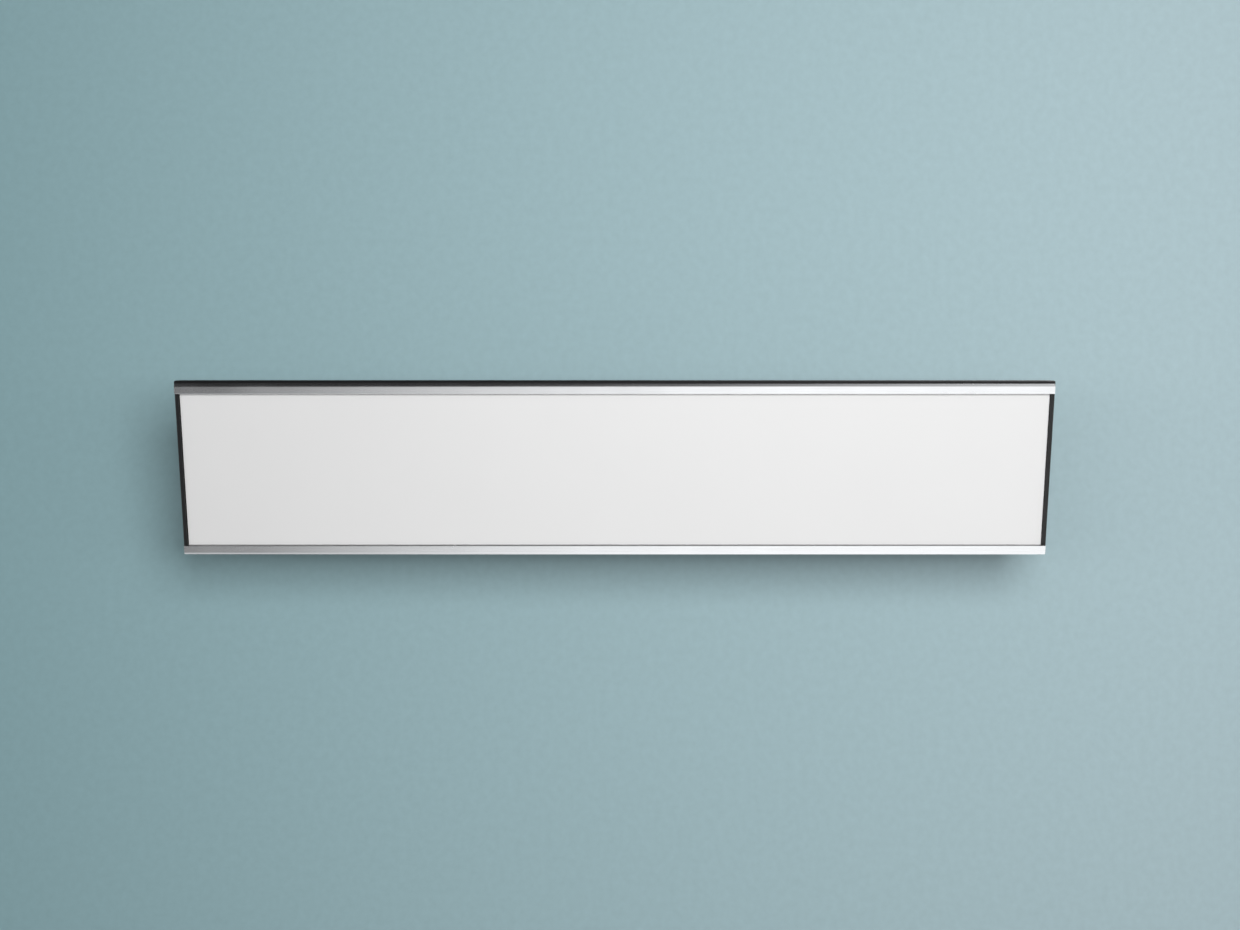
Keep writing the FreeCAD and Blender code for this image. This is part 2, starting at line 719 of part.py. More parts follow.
def support_screws():
    """Pan-head screws through the rear panel into the feet of the element supports."""
    screws = []
    for x, z in support_screw_places():
        head = Vector(x, BODY_DEPTH + COVER_SCREW_HEAD, z)
        shank = HOUSING_WALL + 2 * SUPPORT_PLATE
        screws.append(stepped(head, Vector(0, -1, 0),
                              [(COVER_SCREW_HEAD, COVER_SCREW_HEAD_RADIUS), (shank, SCREW_CORE)]))
    return Part.makeCompound(screws)


def right_bus_bar():
    """Strip that joins the pins of both tubes at one end."""
    half = ELEMENT_HALF + BUS_OVERHANG
    bar = box(CAP_OUTER, CAP_OUTER + BUS_THICKNESS, ELEMENT_DEPTH - BUS_WIDTH / 2,
              ELEMENT_DEPTH + BUS_WIDTH / 2, -half, half)
    holes = [element_line(CAP_OUTER, CAP_OUTER + BUS_THICKNESS, PIN_RADIUS + CAP_CLEARANCE, z)
             for z in (ELEMENT_HALF, -ELEMENT_HALF)]
    return bar.cut(holes)


def reflector():
    """Bright sheet with a round trough behind each tube and a ridge between them."""
    tip = RIM_INNER - WING_GAP
    near = ELEMENT_HALF - TROUGH_RADIUS
    far = ELEMENT_HALF + TROUGH_RADIUS
    x0 = -(SUPPORT_X - SUPPORT_PLATE)

    def at(y, z):
        return Vector(x0, y, z)

    edges = []
    for sign in (-1, 1):
        wing = Part.makeLine(at(WING_FRONT, sign * tip), at(ELEMENT_DEPTH, sign * far))
        trough = Part.Arc(at(ELEMENT_DEPTH, sign * far),
                          at(ELEMENT_DEPTH + TROUGH_RADIUS, sign * ELEMENT_HALF),
                          at(ELEMENT_DEPTH, sign * near)).toShape()
        ridge = Part.makeLine(at(ELEMENT_DEPTH, sign * near), at(REFLECTOR_PEAK, 0))
        edges += [wing, trough, ridge]
    path = Part.Wire(Part.__sortEdges__(edges))
    section = path.makeOffset2D(REFLECTOR_SHEET, 2, True, True, False)
    return section.extrude(Vector(-2 * x0, 0, 0))


def insulation_board():
    """Fibre board on the inside of the rear panel, cleared for rivets and the lead hole."""
    half = SUPPORT_X - SUPPORT_PLATE
    rise = wall_inside(REAR_INNER) - INSULATION_MARGIN
    front = REAR_INNER - INSULATION
    board = box(-half, half, front, REAR_INNER, -rise, rise)
    holes = [across(x, z, RIVET_TAIL_RADIUS + BOARD_CLEARANCE, front, REAR_INNER)
             for x, z in rail_rivet_places() + box_rivet_places()]
    holes.append(across(0, 0, GROMMET_FLANGE_RADIUS + BOARD_CLEARANCE, front, REAR_INNER))
    return board.cut(holes)


# Rear rails and rivets

def right_rail():
    """C-shaped channel on the rear panel that the tilt brackets clamp to."""
    half = RAIL_HEIGHT / 2
    slot = RAIL_SLOT / 2
    inner = half - RAIL_WALL
    base = BODY_DEPTH + RAIL_WALL
    lip = RAIL_BACK - RAIL_WALL
    section = [
        (BODY_DEPTH, -half, 0),
        (BODY_DEPTH, half, 0),
        (RAIL_BACK, half, RAIL_EDGE_RADIUS),
        (RAIL_BACK, slot, 0),
        (lip, slot, 0),
        (lip, inner, 0),
        (base, inner, 0),
        (base, -inner, 0),
        (lip, -inner, 0),
        (lip, -slot, 0),
        (RAIL_BACK, -slot, 0),
        (RAIL_BACK, -half, RAIL_EDGE_RADIUS),
    ]
    rail = prism_x(section, BRACKET_X - RAIL_LENGTH / 2, BRACKET_X + RAIL_LENGTH / 2)
    holes = [across(x, z, RIVET_RADIUS + RIVET_CLEARANCE, BODY_DEPTH, base)
             for x, z in rail_rivet_places()]
    return rail.cut(holes)


def rivet(x, z, outside):
    """Blind rivet from the head face at depth outside to the inner face of the rear panel."""
    start = Vector(x, outside + RIVET_HEAD, z)
    return stepped(start, Vector(0, -1, 0), [
        (RIVET_HEAD, RIVET_HEAD_RADIUS),
        (outside - REAR_INNER, RIVET_RADIUS),
        (RIVET_TAIL, RIVET_TAIL_RADIUS),
    ])


def rail_rivets():
    return Part.makeCompound([rivet(x, z, BODY_DEPTH + RAIL_WALL) for x, z in rail_rivet_places()])


def box_rivets():
    return Part.makeCompound([rivet(x, z, BOX_FLOOR) for x, z in box_rivet_places()])


# Terminal box and what it holds

def cover_screw_places():
    x = BOX_HALF - COVER_SCREW_INSET
    return [(side * x, z) for side in SIDES
            for z in (BOX_BOTTOM + COVER_SCREW_INSET, BOX_TOP - COVER_SCREW_INSET)]


def box_outline(inset):
    half = BOX_HALF - inset
    return rectangle(-half, half, BOX_BOTTOM + inset, BOX_TOP - inset, BOX_RADIUS - inset)


def terminal_box():
    shell = prism_y(box_outline(0), BODY_DEPTH, BOX_BACK)
    shell = shell.cut(prism_y(box_outline(BOX_WALL), BOX_FLOOR, BOX_BACK))
    for x, z in cover_screw_places():
        shell = shell.fuse(across(x, z, COVER_BOSS_RADIUS, BODY_DEPTH, BOX_BACK))
    cuts = [across(x, z, PORT_BORE, BOX_FLOOR, BOX_BACK) for x, z in cover_screw_places()]
    cuts += [across(x, z, RIVET_RADIUS + RIVET_CLEARANCE, BODY_DEPTH, BOX_FLOOR)
             for x, z in box_rivet_places()]
    cuts.append(across(0, 0, GROMMET_NECK + RUNNING_CLEARANCE, BODY_DEPTH, BOX_FLOOR))
    cuts.append(gland_line(BOX_BOTTOM, BOX_BOTTOM + BOX_WALL, GLAND_THREAD + GLAND_CLEARANCE))
    return shell.cut(cuts).removeSplitter()


def terminal_cover():
    cover = prism_y(box_outline(0), BOX_BACK, BOX_BACK + COVER_THICKNESS)
    return cover.cut([across(x, z, SCREW_HOLE, BOX_BACK, BOX_BACK + COVER_THICKNESS)
                      for x, z in cover_screw_places()])


def cover_screws():
    screws = []
    for x, z in cover_screw_places():
        head = Vector(x, BOX_BACK + COVER_THICKNESS + COVER_SCREW_HEAD, z)
        screws.append(stepped(head, Vector(0, -1, 0), [
            (COVER_SCREW_HEAD, COVER_SCREW_HEAD_RADIUS),
            (COVER_SCREW_LENGTH, SCREW_CORE),
        ]))
    return Part.makeCompound(screws)


def lead_grommet():
    """Rubber grommet through the box floor and the rear panel."""
    start = Vector(0, BOX_FLOOR + GROMMET_FLANGE, 0)
    toward = Vector(0, -1, 0)
    length = BOX_FLOOR - REAR_INNER
    body = stepped(start, toward, [
        (GROMMET_FLANGE, GROMMET_FLANGE_RADIUS),
        (length, GROMMET_NECK),
        (GROMMET_FLANGE, GROMMET_FLANGE_RADIUS),
    ])
    return body.cut(rod(start, start + toward * (length + 2 * GROMMET_FLANGE), GROMMET_BORE))


def pole_places():
    return (NEUTRAL_POLE, EARTH_POLE, LIVE_POLE)


def terminal_block():
    """Ceramic block with one bore for each pole."""
    x0 = BLOCK_X - BLOCK_WIDTH / 2
    x1 = BLOCK_X + BLOCK_WIDTH / 2
    block = box(x0, x1, BOX_FLOOR, BOX_FLOOR + BLOCK_HEIGHT,
                NEUTRAL_POLE - POLE_PITCH / 2, LIVE_POLE + POLE_PITCH / 2)
    cuts = []
    for z in pole_places():
        cuts.append(rod(Vector(x0, LEAD_DEPTH, z), Vector(x1, LEAD_DEPTH, z), POLE_BORE))
        for x in (BLOCK_X - BLOCK_WIDTH / 4, BLOCK_X + BLOCK_WIDTH / 4):
            cuts.append(across(x, z, POLE_SCREW_RADIUS + RIVET_CLEARANCE, LEAD_DEPTH,
                               BOX_FLOOR + BLOCK_HEIGHT))
    return block.cut(cuts)


def terminal_clamps():
    """Brass pole tubes with their clamp screws, one solid for each pole."""
    x0 = BLOCK_X - BLOCK_WIDTH / 2 + POLE_RECESS
    x1 = BLOCK_X + BLOCK_WIDTH / 2
    clamps = []
    for z in pole_places():
        clamp = rod(Vector(x0, LEAD_DEPTH, z), Vector(x1, LEAD_DEPTH, z), POLE_RADIUS)
        for x in (BLOCK_X - BLOCK_WIDTH / 4, BLOCK_X + BLOCK_WIDTH / 4):
            clamp = clamp.fuse(across(x, z, POLE_SCREW_RADIUS, LEAD_DEPTH,
                                      BOX_FLOOR + BLOCK_HEIGHT - POLE_RECESS))
        clamps.append(clamp.removeSplitter())
    return Part.makeCompound(clamps)


def thermal_cutout():
    """Disc thermostat on the box floor with two flat tabs."""
    top = BOX_FLOOR + CUTOUT_HEIGHT
    shape = across(CUTOUT_X, LIVE_POLE, CUTOUT_RADIUS, BOX_FLOOR, top)
    for side in SIDES:
        x = CUTOUT_X + side * TAB_SPACING / 2
        shape = shape.fuse(box(x - TAB_THICKNESS / 2, x + TAB_THICKNESS / 2, top - TAB_ROOT,
                               top + TAB_HEIGHT, LIVE_POLE - TAB_WIDTH / 2,
                               LIVE_POLE + TAB_WIDTH / 2))
    return shape.removeSplitter()


def earth_stud():
    return across(EARTH_X, EARTH_POLE, EARTH_RADIUS, BOX_FLOOR, BOX_FLOOR + EARTH_HEIGHT)


# Leads inside the heater

def live_link():
    block_end = BLOCK_X + BLOCK_WIDTH / 2
    tab = CUTOUT_X - TAB_SPACING / 2 - TAB_THICKNESS / 2
    return lead([(block_end, LEAD_DEPTH, LIVE_POLE), (tab, LEAD_DEPTH, LIVE_POLE)],
                LEAD_RADIUS, LEAD_BEND)


def left_lead():
    tab = CUTOUT_X + TAB_SPACING / 2 + TAB_THICKNESS / 2
    return lead([
        (tab, LEAD_DEPTH, LIVE_POLE),
        (LEAD_RETURN_X, LEAD_DEPTH, LIVE_POLE),
        (LEAD_RETURN_X, LEAD_DEPTH, -LEAD_OFFSET),
        (0, LEAD_DEPTH, -LEAD_OFFSET),
        (0, ELEMENT_DEPTH, -LEAD_OFFSET),
        (-CAP_OUTER, ELEMENT_DEPTH, -LEAD_OFFSET),
    ], LEAD_RADIUS, LEAD_BEND)


def right_lead():
    return lead([
        (BLOCK_X + BLOCK_WIDTH / 2, LEAD_DEPTH, NEUTRAL_POLE),
        (0, LEAD_DEPTH, NEUTRAL_POLE),
        (0, ELEMENT_DEPTH, LEAD_OFFSET),
        (CAP_OUTER, ELEMENT_DEPTH, LEAD_OFFSET),
    ], LEAD_RADIUS, LEAD_BEND)


def earth_lead():
    return lead([
        (BLOCK_X + BLOCK_WIDTH / 2, LEAD_DEPTH, EARTH_POLE),
        (EARTH_X, LEAD_DEPTH, EARTH_POLE),
        (EARTH_X, BOX_FLOOR + EARTH_HEIGHT, EARTH_POLE),
    ], LEAD_RADIUS, LEAD_RISE - EARTH_HEIGHT - LEAD_END_GAP)


# Cable gland

def gland_line(z0, z1, radius):
    return rod(Vector(GLAND_X, GLAND_DEPTH, z0), Vector(GLAND_X, GLAND_DEPTH, z1), radius)


def gland_at(z):
    return Vector(GLAND_X, GLAND_DEPTH, z)


def gland_body():
    down = Vector(0, 0, -1)
    inside = BOX_BOTTOM + GLAND_INSIDE
    tail = BOX_BOTTOM - GLAND_TAIL
    body = gland_line(tail, inside, GLAND_THREAD)
    body = body.fuse(hexagon(gland_at(BOX_BOTTOM), down, GLAND_HEX_FLATS, GLAND_HEX))
    return body.cut(gland_line(tail, inside, GLAND_BORE)).removeSplitter()


def gland_locknut():
    start = gland_at(BOX_BOTTOM + BOX_WALL)
    nut = hexagon(start, Vector(0, 0, 1), LOCKNUT_FLATS, LOCKNUT)
    return nut.cut(gland_line(start.z, start.z + LOCKNUT, GLAND_THREAD + GLAND_CLEARANCE))


def gland_nut():
    """Clamping nut, a hexagon that tapers toward the mouth."""
    down = Vector(0, 0, -1)
    half = GLAND_NUT_FLATS / 2
    shelf = GLAND_NUT_LOW + GLAND_NUT_END
    nut = hexagon(gland_at(GLAND_NUT_TOP), down, GLAND_NUT_FLATS, GLAND_NUT)
    nut = nut.common(Part.makeCone(half + GLAND_NUT_FLARE, half - GLAND_NUT_TAPER, GLAND_NUT,
                                   gland_at(GLAND_NUT_TOP), down))
    socket = gland_line(shelf, GLAND_NUT_TOP, GLAND_THREAD + GLAND_CLEARANCE)
    return nut.cut([socket, gland_line(GLAND_NUT_LOW, shelf, GLAND_MOUTH)]).removeSplitter()


def gland_seal():
    """Rubber sleeve inside the gland that grips the supply cable."""
    low = GLAND_NUT_LOW + GLAND_NUT_END
    seal = gland_line(low, low + GLAND_SEAL, GLAND_BORE - GLAND_CLEARANCE)
    return seal.cut(gland_line(low, low + GLAND_SEAL, GLAND_SEAL_BORE))


# Tilt brackets

def lock_offset(tilt):
    """(y, z) of the lock bolt from the pivot when the panel leans out by tilt degrees."""
    angle = math.radians(LOCK_ANGLE + tilt)
    return LOCK_ARM * math.sin(angle), -LOCK_ARM * math.cos(angle)


def channel(half, y_web, y_ears, z_half):
    """U-shaped folded sheet: a web at y_web with two ears that reach y_ears."""
    sheet = BRACKET_SHEET if y_ears > y_web else -BRACKET_SHEET
    inner = half - BRACKET_SHEET
    section = [
        (-half, y_web, BEND_OUTER),
        (half, y_web, BEND_OUTER),
        (half, y_ears, 0),
        (inner, y_ears, 0),
        (inner, y_web + sheet, BEND_INNER),
        (-inner, y_web + sheet, BEND_INNER),
        (-inner, y_ears, 0),
        (-half, y_ears, 0),
    ]
    return prism_z(section, -z_half, z_half)


def through_x(y, z, radius, half):
    return rod(Vector(-half, y, z), Vector(half, y, z), radius)


def arc_slot():
    """Cutter for the curved slot that the lock bolt travels in, centred on the pivot."""
    radius = LOCK_RADIUS + LOCK_SLOT_CLEARANCE

    def at(tilt, reach):
        y, z = lock_offset(tilt)
        scale = reach / LOCK_ARM
        return Vector(-WALL_EAR_OUTER, y * scale - PIVOT_FROM_WALL, z * scale)

    def cap(tilt, turn):
        angle = math.radians(LOCK_ANGLE + tilt)
        ahead = Vector(0, math.cos(angle), math.sin(angle)) * (turn * radius)
        return at(tilt, LOCK_ARM) + ahead

    middle = (TILT_MIN + TILT_MAX) / 2
    outer = LOCK_ARM + radius
    inner = LOCK_ARM - radius
    arcs = [
        (at(TILT_MIN, outer), at(middle, outer), at(TILT_MAX, outer)),
        (at(TILT_MAX, outer), cap(TILT_MAX, 1), at(TILT_MAX, inner)),
        (at(TILT_MAX, inner), at(middle, inner), at(TILT_MIN, inner)),
        (at(TILT_MIN, inner), cap(TILT_MIN, -1), at(TILT_MIN, outer)),
    ]
    wire = Part.Wire([Part.Arc(*arc).toShape() for arc in arcs])
    return Part.Face(wire).extrude(Vector(2 * WALL_EAR_OUTER, 0, 0))


def wall_bracket():
    """Folded steel bracket for one side, centred on x = 0, with its back on the wall."""
    taper = math.radians(WALL_EAR_TAPER)
    apex = WALL_EAR_NOSE / math.sin(taper)
    straight = WALL_EAR_HALF / math.tan(taper) - apex - PIVOT_FROM_WALL
    ear = [
        (-PIVOT_FROM_WALL - apex, 0, WALL_EAR_NOSE),
        (straight, -WALL_EAR_HALF, 0),
        (0, -WALL_EAR_HALF, 0),
        (0, WALL_EAR_HALF, 0),
        (straight, WALL_EAR_HALF, 0),
    ]
    reach = -PIVOT_FROM_WALL - WALL_EAR_NOSE - WALL_EAR_SPARE
    shape = channel(WALL_EAR_OUTER, 0, reach, WALL_EAR_HALF)
    shape = shape.common(prism_x(ear, -WALL_EAR_OUTER, WALL_EAR_OUTER))
    half = WALL_EAR_OUTER - BEND_OUTER
    tab = rectangle(-half, half, -WALL_PLATE_HEIGHT / 2, WALL_PLATE_HEIGHT / 2, WALL_TAB_RADIUS)
    shape = shape.fuse(prism_y(tab, -BRACKET_SHEET, 0))
    cuts = [across(0, sign * WALL_HOLE_SPACING / 2, WALL_HOLE_RADIUS, -BRACKET_SHEET, 0)
            for sign in SIDES]
    cuts.append(through_x(-PIVOT_FROM_WALL, 0, PIVOT_RADIUS + RUNNING_CLEARANCE, WALL_EAR_OUTER))
    cuts.append(arc_slot())
    return shape.cut(cuts).removeSplitter()


def heater_bracket():
    """Folded steel bracket on the rail, in the panel frame and centred on x = 0."""
    half_height = FOOT_HEIGHT / 2
    back = PIVOT_DEPTH + EAR_BACK
    ear = [
        (RAIL_BACK, -half_height, 0),
        (RAIL_BACK, half_height, 0),
        (PIVOT_DEPTH - EAR_SHOULDER, half_height, EAR_RADIUS),
        (PIVOT_DEPTH + EAR_NECK, EAR_NECK_HEIGHT, EAR_NECK_RADIUS),
        (back, -half_height, EAR_RADIUS),
    ]
    shape = channel(FOOT_HALF, RAIL_BACK, back, half_height)
    shape = shape.common(prism_x(ear, -FOOT_HALF, FOOT_HALF))
    lock_y, lock_z = lock_offset(0)
    cuts = [
        through_x(PIVOT_DEPTH, 0, BUSH_RADIUS + RUNNING_CLEARANCE, FOOT_HALF),
        through_x(PIVOT_DEPTH + lock_y, lock_z, LOCK_RADIUS + RUNNING_CLEARANCE, FOOT_HALF),
    ]
    cuts += [across(side * T_BOLT_SPACING / 2, 0, T_BOLT_HOLE, RAIL_BACK, FOOT_BACK)
             for side in SIDES]
    return shape.cut(cuts).removeSplitter()


def at_brackets(shapes):
    """Copies of shapes drawn at x = 0, one set at each bracket."""
    placed = []
    for side in SIDES:
        for shape in shapes:
            copy = shape.copy()
            copy.translate(Vector(side * BRACKET_X, 0, 0))
            placed.append(copy)
    return Part.makeCompound(placed)


def one_bracket(shape, side):
    copy = shape.copy()
    copy.translate(Vector(side * BRACKET_X, 0, 0))
    return copy


def through_bolt(y, z, radius, face, size):
    """Flange bolt along -x whose head sits on the face at x = face."""
    head = flange_hex(Vector(face, y, z), Vector(1, 0, 0), size)
    nut_reach = size[1] + size[3] + BOLT_TIP
    shank = rod(Vector(face, y, z), Vector(-face - nut_reach, y, z), radius)
    return head.fuse(shank).removeSplitter()


def through_nut(y, z, radius, face, size):
    """Flange nut on the far side of a through bolt."""
    nut = flange_hex(Vector(-face, y, z), Vector(-1, 0, 0), size)
    bore = rod(Vector(-face, y, z), Vector(-face - size[1] - size[3], y, z),
               radius + RUNNING_CLEARANCE)
    return nut.cut(bore).removeSplitter()


def pivot_bolts():
    return at_brackets([through_bolt(-PIVOT_FROM_WALL, 0, PIVOT_RADIUS, WALL_EAR_OUTER, M8_FLANGE)])


def pivot_nuts():
    return at_brackets([through_nut(-PIVOT_FROM_WALL, 0, PIVOT_RADIUS, WALL_EAR_OUTER, M8_FLANGE)])


def pivot_bushes():
    """Flanged plastic bushes in the ears of the heater brackets."""
    bushes = []
    for side in SIDES:
        inner = Vector(side * (FOOT_HALF - BRACKET_SHEET), PIVOT_DEPTH, 0)
        bush = stepped(inner, Vector(side, 0, 0),
                       [(BRACKET_SHEET, BUSH_RADIUS), (BUSH_FLANGE, BUSH_FLANGE_RADIUS)])
        bushes.append(bush.cut(through_x(PIVOT_DEPTH, 0, PIVOT_RADIUS + RUNNING_CLEARANCE,
                                         WALL_EAR_OUTER)))
    return at_brackets(bushes)


def lock_bolts():
    y, z = lock_offset(0)
    face = WALL_EAR_OUTER + LOCK_FACE_GAP
    return at_brackets([through_bolt(PIVOT_DEPTH + y, z, LOCK_RADIUS, face, M6_FLANGE)])


def lock_nuts():
    y, z = lock_offset(0)
    face = WALL_EAR_OUTER + LOCK_FACE_GAP
    return at_brackets([through_nut(PIVOT_DEPTH + y, z, LOCK_RADIUS, face, M6_FLANGE)])


def t_bolt_tip():
    return FOOT_BACK + M6_FLANGE[1] + M6_FLANGE[3] + BOLT_TIP


def t_bolts():
    """Hammer-head bolts in the rail channel, clamping the brackets to the rails."""
    seat = RAIL_BACK - RAIL_WALL
    bolts = []
    for side in SIDES:
        x = side * T_BOLT_SPACING / 2
        head = box(x - T_HEAD_WIDTH / 2, x + T_HEAD_WIDTH / 2, seat - T_HEAD_THICKNESS, seat,
                   -T_HEAD_HEIGHT / 2, T_HEAD_HEIGHT / 2)
        bolts.append(head.fuse(across(x, 0, T_BOLT_RADIUS, seat, t_bolt_tip())).removeSplitter())
    return at_brackets(bolts)


def t_bolt_nuts():
    nuts = []
    for side in SIDES:
        x = side * T_BOLT_SPACING / 2
        nut = flange_hex(Vector(x, FOOT_BACK, 0), Vector(0, 1, 0), M6_FLANGE)
        bore = across(x, 0, T_BOLT_RADIUS + RUNNING_CLEARANCE, FOOT_BACK, t_bolt_tip())
        nuts.append(nut.cut(bore).removeSplitter())
    return at_brackets(nuts)


def fixed_pieces():
    """Pieces that stay on the wall."""
    return {
        "left_wall_bracket": one_bracket(wall_bracket(), -1),
        "right_wall_bracket": one_bracket(wall_bracket(), 1),
        "pivot_bolts": pivot_bolts(),
        "pivot_nuts": pivot_nuts(),
    }


def tilting_pieces():
    """Pieces that tilt with the heater, in the panel frame."""
    upper, lower = ELEMENT_HALF, -ELEMENT_HALF
    return {
        "front_glass": front_glass(),
        "top_trim": top_trim(),
        "bottom_trim": upside_down(top_trim()),
        "top_gasket": top_gasket(),
        "bottom_gasket": upside_down(top_gasket()),
        "rear_housing": rear_housing(),
        "left_end_plate": other_end(right_end_plate()),
        "right_end_plate": right_end_plate(),
        "end_plate_screws": end_plate_screws(),
        "upper_quartz_tube": quartz_tube(upper),
        "lower_quartz_tube": quartz_tube(lower),
        "upper_heating_ribbon": heating_ribbon(upper),
        "lower_heating_ribbon": heating_ribbon(lower),
        "ceramic_caps": both_ends_both_tubes(ceramic_cap),
        "element_pins": both_ends_both_tubes(element_pin),
        "bus_nuts": both_ends_both_tubes(bus_nut),
        "tube_clips": tube_clips(),
        "left_element_support": other_end(right_element_support()),
        "right_element_support": right_element_support(),
        "support_screws": support_screws(),
        "left_bus_bar": other_end(right_bus_bar()),
        "right_bus_bar": right_bus_bar(),
        "reflector": reflector(),
        "insulation_board": insulation_board(),
        "left_rail": other_end(right_rail()),
        "right_rail": right_rail(),
        "rail_rivets": rail_rivets(),
        "terminal_box": terminal_box(),
        "box_rivets": box_rivets(),
        "terminal_cover": terminal_cover(),
        "cover_screws": cover_screws(),
        "lead_grommet": lead_grommet(),
        "terminal_block": terminal_block(),
        "terminal_clamps": terminal_clamps(),
        "thermal_cutout": thermal_cutout(),
        "earth_stud": earth_stud(),
        "live_link": live_link(),
        "left_lead": left_lead(),
        "right_lead": right_lead(),
        "earth_lead": earth_lead(),
        "gland_body": gland_body(),
        "gland_locknut": gland_locknut(),
        "gland_nut": gland_nut(),
        "gland_seal": gland_seal(),
        "left_heater_bracket": one_bracket(heater_bracket(), -1),
        "right_heater_bracket": one_bracket(heater_bracket(), 1),
        "pivot_bushes": pivot_bushes(),
        "lock_bolts": lock_bolts(),
        "lock_nuts": lock_nuts(),
        "t_bolts": t_bolts(),
        "t_bolt_nuts": t_bolt_nuts(),
    }


def write_steps():
    os.makedirs("parts", exist_ok=True)
    pieces = fixed_pieces()
    for name, shape in tilting_pieces().items():
        pieces[name] = hang(shape)
    for name, shape in pieces.items():
        solids = shape.Solids
        whole = solids[0] if len(solids) == 1 else Part.makeCompound(solids)
        whole.exportStep(f"parts/{name}.step")
        print(f"{name}: {len(solids)} solids, {whole.Volume / 1000:.2f} cm3, valid {whole.isValid()}")


write_steps()
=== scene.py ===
import json
import math

import bmesh
import bpy
from mathutils import Matrix, Vector


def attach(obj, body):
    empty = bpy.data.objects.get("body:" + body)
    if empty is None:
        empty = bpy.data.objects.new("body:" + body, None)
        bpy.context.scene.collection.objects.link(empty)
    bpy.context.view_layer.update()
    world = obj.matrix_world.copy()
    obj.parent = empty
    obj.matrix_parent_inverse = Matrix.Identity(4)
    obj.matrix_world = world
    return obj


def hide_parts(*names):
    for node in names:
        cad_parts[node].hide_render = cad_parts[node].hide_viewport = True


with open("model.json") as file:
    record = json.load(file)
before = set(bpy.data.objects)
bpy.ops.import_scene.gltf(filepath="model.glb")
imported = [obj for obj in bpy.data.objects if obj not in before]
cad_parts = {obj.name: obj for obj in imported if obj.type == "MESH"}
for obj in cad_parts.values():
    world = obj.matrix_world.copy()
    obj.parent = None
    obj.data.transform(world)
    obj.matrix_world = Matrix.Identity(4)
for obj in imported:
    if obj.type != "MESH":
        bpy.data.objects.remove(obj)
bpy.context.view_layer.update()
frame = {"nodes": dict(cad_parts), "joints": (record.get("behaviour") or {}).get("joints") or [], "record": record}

bl_info = {
    "name": "Electric patio heater",
    "version": (1, 0, 0),
    "blender": (4, 5, 0),
    "location": "View3D > Sidebar > Heater",
    "description": "Dresses a wall heater with a glass front, satin trims and a tilting bracket",
    "category": "Object",
}

MM = 0.001

# The panel frame lies on the tilt axis: x along the heater, y through it toward the wall, z up
# the panel. Its lean at rest is read from the cable entry, which points straight down the panel.
PIVOT = Vector(frame["joints"][0]["pos_m"])
ENTRY = next(mount for mount in frame["record"]["mounts"] if mount["name"] == "cable_entry")
LEAN = math.atan2(ENTRY["axis"][1], -ENTRY["axis"][2])
PANEL = Matrix.Translation(PIVOT) @ Matrix.Rotation(LEAN, 4, "X")
WALL = Matrix.Translation(PIVOT)

SLOT_OF = {part["node"]: part["material_slot"] for part in frame["record"]["subparts"]}
BODY_OF = {node: body for body, nodes in frame["record"]["behaviour"]["bodies"].items()
           for node in nodes}

# Flange hardware in millimetres: flange height, width over flats, hexagon top, thread radius
M8_FLANGE = (1.5, 13.0, 7.0, 4.0)
M6_FLANGE = (1.2, 10.0, 5.5, 3.0)

# Points closer than WELD are one, and faces that turn less than FLAT are one. Edges that turn more
# than CREASE are rounded, and those that still turn more than SHARP are shaded as sharp.
WELD = 0.001 * MM
FLAT = math.radians(0.5)
CREASE = math.radians(50)
SHARP = math.radians(38)

# Faces across a rounded edge of the trims, a ground edge of the glass and any other rounded edge
TRIM_STEPS, GLASS_STEPS, EDGE_STEPS = 12, 5, 2

# A trim's tongue ends this far before its slot does
SLIDE_GAP = 0.2 * MM

# Most values of a pattern lie in this range
PATTERN = (0.3, 0.7)


def linear(code):
    """An sRGB hex colour as linear red, green, blue and alpha."""
    parts = [int(code[i:i + 2], 16) / 255 for i in (1, 3, 5)]
    return [c / 12.92 if c <= 0.04045 else ((c + 0.055) / 1.055) ** 2.4 for c in parts] + [1.0]


def per(size_mm):
    """Texture scale at which one cell of a pattern measures size_mm."""
    return 1.0 / (size_mm * MM)


# Sizes and colours that a user would change

def number_field(name, text, value, **limits):
    """A number that is zero or more, unless its limits say otherwise."""
    return bpy.props.FloatProperty(name=name, description=text, default=value,
                                   **{"min": 0.0, **limits})


def length_field(name, text, metres, **limits):
    """A length in metres."""
    return number_field(name, text, metres, unit="LENGTH", **limits)


def colour_field(name, text, code):
    """A colour, given as its sRGB hex code."""
    return bpy.props.FloatVectorProperty(name=name, description=text, default=linear(code),
                                         subtype="COLOR", size=4, min=0.0, max=1.0)


